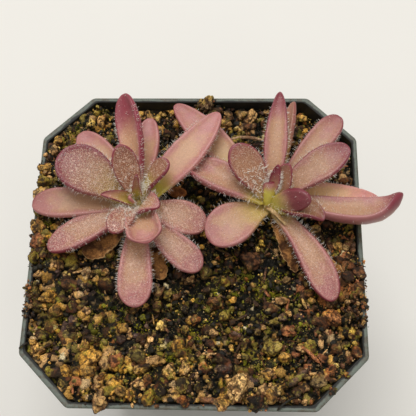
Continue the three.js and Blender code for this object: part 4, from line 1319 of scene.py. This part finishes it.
class BUTTERWORT_OT_gravel(bpy.types.Operator):
    """Scatter the middling and small grains over the mix"""

    bl_idname = "butterwort.gravel"
    bl_label = "Gravel and grit"

    # The share of the grains that is spilled, how far out a heap has its middle, how wide and high it gets,
    # and the colours of what is spilled
    SPILLED = 0.16
    RIM_MIDDLE = 38.2
    RIM_REACH = 2.6
    RIM_HEAP = 1.3
    SPILLED_TINTS = [PEAT, PEAT, UMBER, UMBER, BROWN, OLIVE, RUST, TAN]

    def spill(self, draw):
        """A place on the rim or just over it, higher in the middle of a spill."""
        across, along, _ = draw.choices(SPILLS, [share for *_, share in SPILLS])[0]
        x, y = draw.uniform(*across), draw.uniform(*along)
        u = 2 * (y - along[0]) / (along[1] - along[0]) - 1
        edge = max(abs(x), abs(y)) - self.RIM_MIDDLE
        heap = max(0, 1 - u**4) * max(0, 1 - (edge / self.RIM_REACH) ** 2)
        return x, y, RIM + 0.1 + draw.uniform(0, self.RIM_HEAP) * heap

    def scatter(self, name, count, units, sizes, material):
        """Spills the first of the grains over the rim, and strews the rest over the mix."""
        draw = Random(name)
        stones = stones_of_the_mix()
        places = [[] for _ in units]
        paints = [[] for _ in units]
        for index in range(count):
            spilled = index < self.SPILLED * count
            x, y, z = self.spill(draw) if spilled else free_spot(draw, stones)
            size = sizes[0] + (sizes[1] - sizes[0]) * draw.random() ** 2
            size *= 0.8 if spilled else 1
            kind = draw.randrange(len(units))
            places[kind].append(random_place(draw, x, y, z + draw.uniform(-0.2, 0.5) * size, size))
            paints[kind].append(draw.choice(self.SPILLED_TINTS) if spilled else pick_colour(draw, x, y))
        add_piece(name, copies(name, zip(units, places, paints), smooth=False), material, "mix")

    def execute(self, context):
        look = context.scene.butterwort_mix
        material = grain_finish()
        self.scatter("gravel", look.gravel, grain_units(2, 8), GRAVEL_SIZE, material)
        self.scatter("grit", look.grit, grain_units(1, 6), GRIT_SIZE, material)
        return {"FINISHED"}


class BUTTERWORT_OT_moss(bpy.types.Operator):
    """Grow the tufts of moss"""

    bl_idname = "butterwort.moss"
    bl_label = "Moss"

    # Blades of a tuft, tufts of a clump, how deep a tuft stands, how far the moss stays from the rim, and the
    # colours of its clumps
    BLADES = 5
    CLUMP = 24
    SUNK = 0.15
    MARGIN = 0.5
    TINTS = [colour(190, 182, 54), colour(150, 148, 44), colour(96, 104, 36), colour(204, 190, 92)]

    def tuft(self):
        """A tuft of pointed blades, one high."""
        bm = bmesh.new()
        for blade in range(self.BLADES):
            turn = Matrix.Rotation(2 * math.pi * blade / self.BLADES, 4, "Z")
            lean = Matrix.Rotation(0.25 + 0.16 * (blade % 3), 4, "Y")
            lift = Matrix.Translation((0, 0, 0.5))
            bmesh.ops.create_cone(bm, cap_ends=True, segments=3, radius1=0.14, radius2=0.0, depth=1.0,
                                  matrix=turn @ lean @ lift)
        return unit_mesh(bm)

    def execute(self, context):
        look = context.scene.butterwort_mix
        draw = Random("moss")
        weights = [spread * spread * thick for _, _, spread, thick in CUSHIONS]
        places, paints = [], []
        limit = SOIL_HALF - self.MARGIN
        while len(places) < look.moss:
            if len(places) % self.CLUMP == 0:
                x, y, spread, _ = draw.choices(CUSHIONS, weights)[0]
                middle = draw.gauss(x, 0.55 * spread), draw.gauss(y, 0.55 * spread)
                wide = draw.uniform(0.25, 1.1)
                tint = draw.choice(self.TINTS)
            x, y = (draw.gauss(place, wide) for place in middle)
            x, y = (max(-limit, min(limit, place)) for place in (x, y))
            if past_corner(x, y, limit):
                x, y = 0.85 * x, 0.85 * y
            size = draw.uniform(*TUFT_SIZE)
            place = Matrix.Translation((x, y, RIM + float(fine_height(x, y)) - self.SUNK))
            place = place @ Matrix.Rotation(draw.uniform(-0.5, 0.5), 4, "X")
            place = place @ Matrix.Rotation(draw.uniform(0, 6.28), 4, "Z")
            places.append(place @ Matrix.Scale(size, 4))
            shade = draw.uniform(0.6, 1.3)
            paints.append((*(shade * part for part in tint[:3]), 1))
        tufts = copies("moss", [(self.tuft(), places, paints)], smooth=False)
        add_piece("moss", tufts, moss_finish(), "mix")
        return {"FINISHED"}


def strand(bm, path, radius, sides, rings, layer=None, paint=None):
    """A tapered strand along four points, drawn out from a sphere."""
    made = bmesh.ops.create_uvsphere(bm, u_segments=sides, v_segments=rings, radius=1)["verts"]
    ends = [Vector(point) for point in path]
    for vert in made:
        t = min(1, max(0, (1 + vert.co.z) / 2))
        point, onward = cubic(ends, t)
        onward = onward.normalized()
        side = onward.cross(Vector((0.3, 0.1, 1))).normalized()
        up = side.cross(onward)
        flat = Vector((vert.co.x, vert.co.y, 0))
        flat = flat.normalized() if flat.length > 1e-4 else Vector()
        wide = radius * (1 - (2 * t - 1) ** 6) * (1 + 0.25 * noise.noise(point * 1.5))
        vert.co = point + (side * flat.x + up * flat.y) * wide
        if layer:
            vert[layer] = paint


class BUTTERWORT_OT_litter(bpy.types.Operator):
    """Build the twig, the bark chip, and the fibres and slivers that lie on the mix"""

    bl_idname = "butterwort.litter"
    bl_label = "Litter"

    # The twig and the larger strands: four points with heights above the rim, a radius, and a strand's colour
    TWIG = [(7.5, 28.2, -1.6), (10.5, 29.4, -1.0), (13.5, 29, -1.0), (17, 28.2, -1.5)]
    TWIG_RADIUS = 0.42
    STRANDS = [
        ([(24.5, -25, -1), (26, -26, -0.6), (27.5, -27.6, -0.6), (29, -29, -1)], 0.5, RUST),
        ([(19, -40, 0.4), (20, -38.5, 0.8), (22, -37.5, 0.6), (23.2, -36.6, -0.2)], 0.25, PEAT),
        ([(-39.8, -27, 0.5), (-39.4, -26.4, 0.8), (-38.6, -25.8, 0.7), (-38, -25.4, 0.2)], 0.3, PEAT),
        ([(0.5, -37.6, -0.8), (3, -37.4, -0.4), (5, -37.9, -0.4), (7.5, -38, -0.8)], 0.7, BROWN),
        ([(21.5, -34.5, -1.2), (23, -33.2, -0.5), (24.6, -32, -0.5), (26, -30.5, -1)], 0.9, PLUM),
    ]

    # The bark chip: half its size along each way, its place with a height above the rim, and its tilt
    CHIP_HALF = (2.4, 1.5, 0.5)
    CHIP_PLACE = (-5, 13.3, -0.9)
    CHIP_TILT = 12

    @staticmethod
    def on_rim(path):
        """The path's points, with their heights counted from the floor."""
        return [(x, y, RIM + z) for x, y, z in path]

    def twig(self):
        bm = bmesh.new()
        strand(bm, self.on_rim(self.TWIG), self.TWIG_RADIUS, 12, 40)
        bmesh.ops.recalc_face_normals(bm, faces=bm.faces)
        pale = dry_finish("twig_bark", colour(214, 178, 140), colour(150, 110, 80))
        add_piece("fallen_twig", bm, pale, "twig", "twig")

    def chip(self):
        long, wide, thick = self.CHIP_HALF
        bm = bmesh.new()
        bmesh.ops.create_uvsphere(bm, u_segments=40, v_segments=24, radius=1)
        for vert in bm.verts:
            x, y, z = vert.co
            ridge = 0.12 * noise.noise(Vector((x * 1.2, y * 5, 1))) * (1 - vert.co.xy.length)
            vert.co = Vector((x * long, y * wide, z * thick + ridge))
        place = Matrix.Translation(self.on_rim([self.CHIP_PLACE])[0])
        place = place @ Matrix.Rotation(math.radians(self.CHIP_TILT), 4, "Y")
        bmesh.ops.transform(bm, matrix=place, verts=bm.verts)
        bark = dry_finish("chip_bark", colour(196, 122, 62), colour(120, 66, 30))
        add_piece("chip_of_bark", bm, bark, "bark_chip", "bark_chip")

    def execute(self, context):
        self.twig()
        self.chip()
        draw = Random("fibres")
        stones = stones_of_the_mix()
        bm = bmesh.new()
        layer = bm.verts.layers.float_color.new("tint")
        for path, radius, paint in self.STRANDS:
            strand(bm, self.on_rim(path), radius, 8, 16, layer, paint)
        for _ in range(context.scene.butterwort_mix.fibres):
            x, y, z = free_spot(draw, stones)
            turn, length = draw.uniform(0, 6.28), draw.uniform(1.2, 4.2)
            way = Vector((math.cos(turn), math.sin(turn), 0)) * length / 3
            start = Vector((x, y, z + 0.1))
            path = [start]
            for _ in range(3):
                step = Vector((draw.gauss(0, 0.3), draw.gauss(0, 0.3), draw.gauss(0.05, 0.25)))
                path.append(path[-1] + way + step)
            end = path[-1]
            if max(abs(end.x), abs(end.y)) > SOIL_HALF or past_corner(end.x, end.y, SOIL_HALF):
                continue
            woody = draw.random() < 0.25 + 0.5 * float(smoothstep(x, 15, 34))
            radius = draw.uniform(0.18, 0.4) if woody else draw.uniform(0.06, 0.14)
            paint = draw.choice([RUST, BROWN, TAN, UMBER] if woody else [PEAT, PEAT, UMBER, BROWN])
            strand(bm, path, radius, 5, 8, layer, paint)
        bmesh.ops.recalc_face_normals(bm, faces=bm.faces)
        add_piece("fibres", bm, grain_finish(), "mix")
        return {"FINISHED"}


class BUTTERWORT_OT_pot(bpy.types.Operator):
    """Round the corners and the rim of the pot, and give it worn green plastic, with a painted sheen on the
    rim and painted shade inside
    """

    bl_idname = "butterwort.pot"
    bl_label = "Pot"

    # Half the pot's width and the height of each ring: up the outside, over the rim and down the inside
    WALLS = [
        (27.5, 0), (38.256, 64), (38.656, 64.4), (39.86, 71.5), (39.98, 71.75), (39.86, 71.93), (39.6, 72),
        (39.35, 71.93), (39.1, 71.93), (38.85, 72), (38.68, 71.9), (38.6, 71.65), (37.26, 64.4), (36.86, 64),
        (26.35, 1.5),
    ]
    # The drain holes, the length, width and depth of the grooves that lead away from them, and the angle in
    # degrees from which an edge of the pot looks sharp
    DRAIN_OFFSET = 17
    DRAIN_RADIUS = 3.6
    DRAIN_DEPTH = 8
    GROOVE = (55, 3, 1)
    SHARP = 28

    def pierce(self, blank):
        """The pot with its drain holes and the grooves of its foot."""
        bm = bmesh.new()
        for x in (-self.DRAIN_OFFSET, self.DRAIN_OFFSET):
            for y in (-self.DRAIN_OFFSET, self.DRAIN_OFFSET):
                place = Matrix.Translation((x, y, 0))
                bmesh.ops.create_cone(bm, cap_ends=True, segments=32, radius1=self.DRAIN_RADIUS,
                                      radius2=self.DRAIN_RADIUS, depth=self.DRAIN_DEPTH, matrix=place)
                turn = Matrix.Rotation(math.atan2(y, x), 4, "Z")
                block = Matrix.Translation((self.GROOVE[0] / 2, 0, 0)) @ Matrix.Diagonal((*self.GROOVE, 1))
                bmesh.ops.create_cube(bm, size=1, matrix=place @ turn @ block)
        cutter = add_object("drains", mesh_from(bm, "drains"))
        pot = add_object("blank", blank)
        cut = pot.modifiers.new("drains", "BOOLEAN")
        cut.object = cutter
        cut.use_self = True
        bpy.context.view_layer.update()
        mesh = bpy.data.meshes.new_from_object(pot.evaluated_get(bpy.context.evaluated_depsgraph_get()))
        for thing in (cutter, pot):
            bpy.data.objects.remove(thing)
        mesh.set_sharp_from_angle(angle=math.radians(self.SHARP))
        return mesh

    def inside(self, shell, height, wear):
        """One on the pot's inner wall and the inner edge of its rim, where it is painted near black as shade.
        """
        x, y = (abs(shell.part(axis)) for axis in "XY")
        ring = x.larger(y).larger((x + y) * (1 / (2 - CORNER_CUT / POT_HALF)))
        foot, slope = self.WALLS[0][0], (POT_HALF - 0.2 - self.WALLS[0][0]) / RIM
        depth = height * slope + foot * MM - ring + (wear - 0.5) * 1.6 * MM
        return depth.between(0.55 * MM, 0.85 * MM)

    def execute(self, context):
        look = context.scene.butterwort_pot
        bm = bmesh.new()
        verts = bmesh.ops.create_circle(bm, segments=8, radius=1)["verts"]
        half, near = self.WALLS[0][0], self.WALLS[0][0] * (1 - CORNER_CUT / POT_HALF)
        corners = [(half, -near), (half, near), (near, half), (-near, half),
                   (-half, near), (-half, -near), (-near, -half), (near, -half)]
        for vert, (x, y) in zip(verts, corners):
            vert.co = (x, y, self.WALLS[0][1])
        bmesh.ops.bevel(bm, geom=verts, offset=look.corner / MM, offset_type="OFFSET", segments=5,
                        profile=0.5, affect="VERTICES", material=-1)
        ring = bm.edges[:]
        bmesh.ops.edgeloop_fill(bm, edges=ring)
        for (was, _), (half, z) in zip(self.WALLS, self.WALLS[1:]):
            made = bmesh.ops.extrude_edge_only(bm, edges=ring)["geom"]
            for vert in [part for part in made if isinstance(part, bmesh.types.BMVert)]:
                vert.co = (vert.co.x * half / was, vert.co.y * half / was, z)
            ring = [part for part in made if isinstance(part, bmesh.types.BMEdge)]
        bmesh.ops.edgeloop_fill(bm, edges=ring)
        bmesh.ops.recalc_face_normals(bm, faces=bm.faces)
        shell = Finish("pot_plastic", {"Specular IOR Level": 0.5})
        height = shell.part("Z")
        top = height.between((RIM - 1.2) * MM, (RIM - 0.2) * MM)
        wear = shell.grain(5, 6, 0.7)
        fine = shell.grain(0.5, 4, 0.7)
        dust = wear.between(0.45, 0.75) * 0.35
        base = shell.blend(dust, look.plastic[:], colour(92, 96, 84))
        # the top of the rim paler: partly wear, partly a painted sheen
        worn = top * (0.4 + 0.7 * wear) * (0.72 + 0.4 * fine)
        base = shell.blend(worn.between(0, 1), base, look.scuff_and_sheen[:])
        dirt = shell.grain(2.4, 6, 0.75).between(0.46, 0.6) * (0.35 + 0.6 * top)
        base = shell.blend(dirt * 0.75, base, colour(78, 64, 44))
        # painted shade: the pot's inside painted near black
        base = shell.blend(self.inside(shell, height, wear), base, colour(20, 20, 15))
        material = shell.feed(base=base, roughness=0.35 + wear * 0.35, normal=shell.bump(fine + wear, 0.05))
        add_piece("pot_shell", self.pierce(mesh_from(bm, "pot_blank")), material, "pot", "pot")
        return {"FINISHED"}


class BUTTERWORT_OT_stage(bpy.types.Operator):
    """Set the floor, the lights and the camera"""

    bl_idname = "butterwort.stage"
    bl_label = "Stage"

    # Places and sizes in metres, and the camera's turn in degrees, fitted to the rim in the photograph
    CAMERA_PLACE = (0.0105, -0.0677, 0.2503)
    CAMERA_TURN = (23.23, 1.95, 1.23)
    KEY_PLACE = (-0.12, 0.62, 1.3)
    FILL_PLACE = (0.1, -0.2, 1.4)
    KEY_SIZE = 0.8
    FILL_SIZE = 1.2
    AIM = (0, 0, 0.06)
    FLOOR_HALF = 3.0
    FLOOR_DROP = 0.0002
    CLIP_START = 0.01
    ROOM = (1.0, 0.985, 0.955, 1)

    def light(self, name, place, power, size):
        data = bpy.data.lights.new(name, "AREA")
        data.energy = power
        data.size = size
        lamp = add_object(name, data)
        lamp.location = place
        lamp.rotation_euler = (Vector(self.AIM) - Vector(place)).to_track_quat("-Z", "Y").to_euler()

    def execute(self, context):
        scene = context.scene
        look = scene.butterwort_stage
        bm = bmesh.new()
        bmesh.ops.create_grid(bm, x_segments=1, y_segments=1, size=self.FLOOR_HALF)
        bmesh.ops.translate(bm, verts=bm.verts, vec=(0, 0, -self.FLOOR_DROP))
        floor = add_object("floor", mesh_from(bm, "floor"))
        table = Finish("table", {"Specular IOR Level": 0.2})
        cloud = table.grain(60, 3)
        shade = table.blend(cloud, look.floor[:], tuple(0.97 * part for part in look.floor[:3]) + (1,))
        # painted shade: the floor darker towards the front left
        painted_floor_shade = (table.part("X") * -0.4 - table.part("Y")).between(0.03, 0.09)
        shade = table.blend(painted_floor_shade, shade, (0.86, 0.86, 0.86, 1), "MULTIPLY")
        floor.data.materials.append(table.feed(base=shade, roughness=0.6 + cloud * 0.1))
        floor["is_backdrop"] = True

        self.light("window", self.KEY_PLACE, look.key, self.KEY_SIZE)
        self.light("ceiling", self.FILL_PLACE, look.fill, self.FILL_SIZE)
        world = bpy.data.worlds.new("room")
        world.use_nodes = True
        air = world.node_tree.nodes["Background"].inputs
        air["Color"].default_value = self.ROOM
        air["Strength"].default_value = look.sky
        scene.world = world
        scene.view_settings.view_transform = "Standard"

        data = bpy.data.cameras.new("camera")
        data.lens = look.lens
        data.clip_start = self.CLIP_START
        camera = add_object("camera", data)
        camera.location = self.CAMERA_PLACE
        camera.rotation_euler = [math.radians(angle) for angle in self.CAMERA_TURN]
        scene.camera = camera
        return {"FINISHED"}


class BUTTERWORT_PT_panel(bpy.types.Panel):
    """Lists the steps and the looks that can be changed"""

    bl_idname = "BUTTERWORT_PT_panel"
    bl_label = "Potted butterwort"
    bl_space_type = "VIEW_3D"
    bl_region_type = "UI"
    bl_category = "Butterwort"

    def draw(self, context):
        for step in STEPS:
            self.layout.operator(step.bl_idname)
        for name in LOOKS:
            look = getattr(context.scene, name)
            box = self.layout.box()
            for key in look.__annotations__:
                box.prop(look, key)


LOOKS = {
    "butterwort_leaf": LeafLook,
    "butterwort_mix": MixLook,
    "butterwort_pot": PotLook,
    "butterwort_stage": StageLook,
}

STEPS = [
    BUTTERWORT_OT_pot, BUTTERWORT_OT_soil, BUTTERWORT_OT_stones, BUTTERWORT_OT_gravel, BUTTERWORT_OT_moss,
    BUTTERWORT_OT_litter, BUTTERWORT_OT_crowns, BUTTERWORT_OT_leaves, BUTTERWORT_OT_dry_leaves,
    BUTTERWORT_OT_hairs, BUTTERWORT_OT_stage,
]


def register():
    for kind in [*LOOKS.values(), *STEPS, BUTTERWORT_PT_panel]:
        bpy.utils.register_class(kind)
    for name, kind in LOOKS.items():
        setattr(bpy.types.Scene, name, PointerProperty(type=kind))


def unregister():
    for name in LOOKS:
        delattr(bpy.types.Scene, name)
    for kind in reversed([*LOOKS.values(), *STEPS, BUTTERWORT_PT_panel]):
        bpy.utils.unregister_class(kind)


def main():
    register()
    for step in STEPS:
        group, name = step.bl_idname.split(".")
        getattr(getattr(bpy.ops, group), name)()
    boxes = {"cad": CAD_BOX, "visual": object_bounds()}
    {key: [list(corner) for corner in box] for key, box in boxes.items()}


if __name__ == "__main__":
    main()
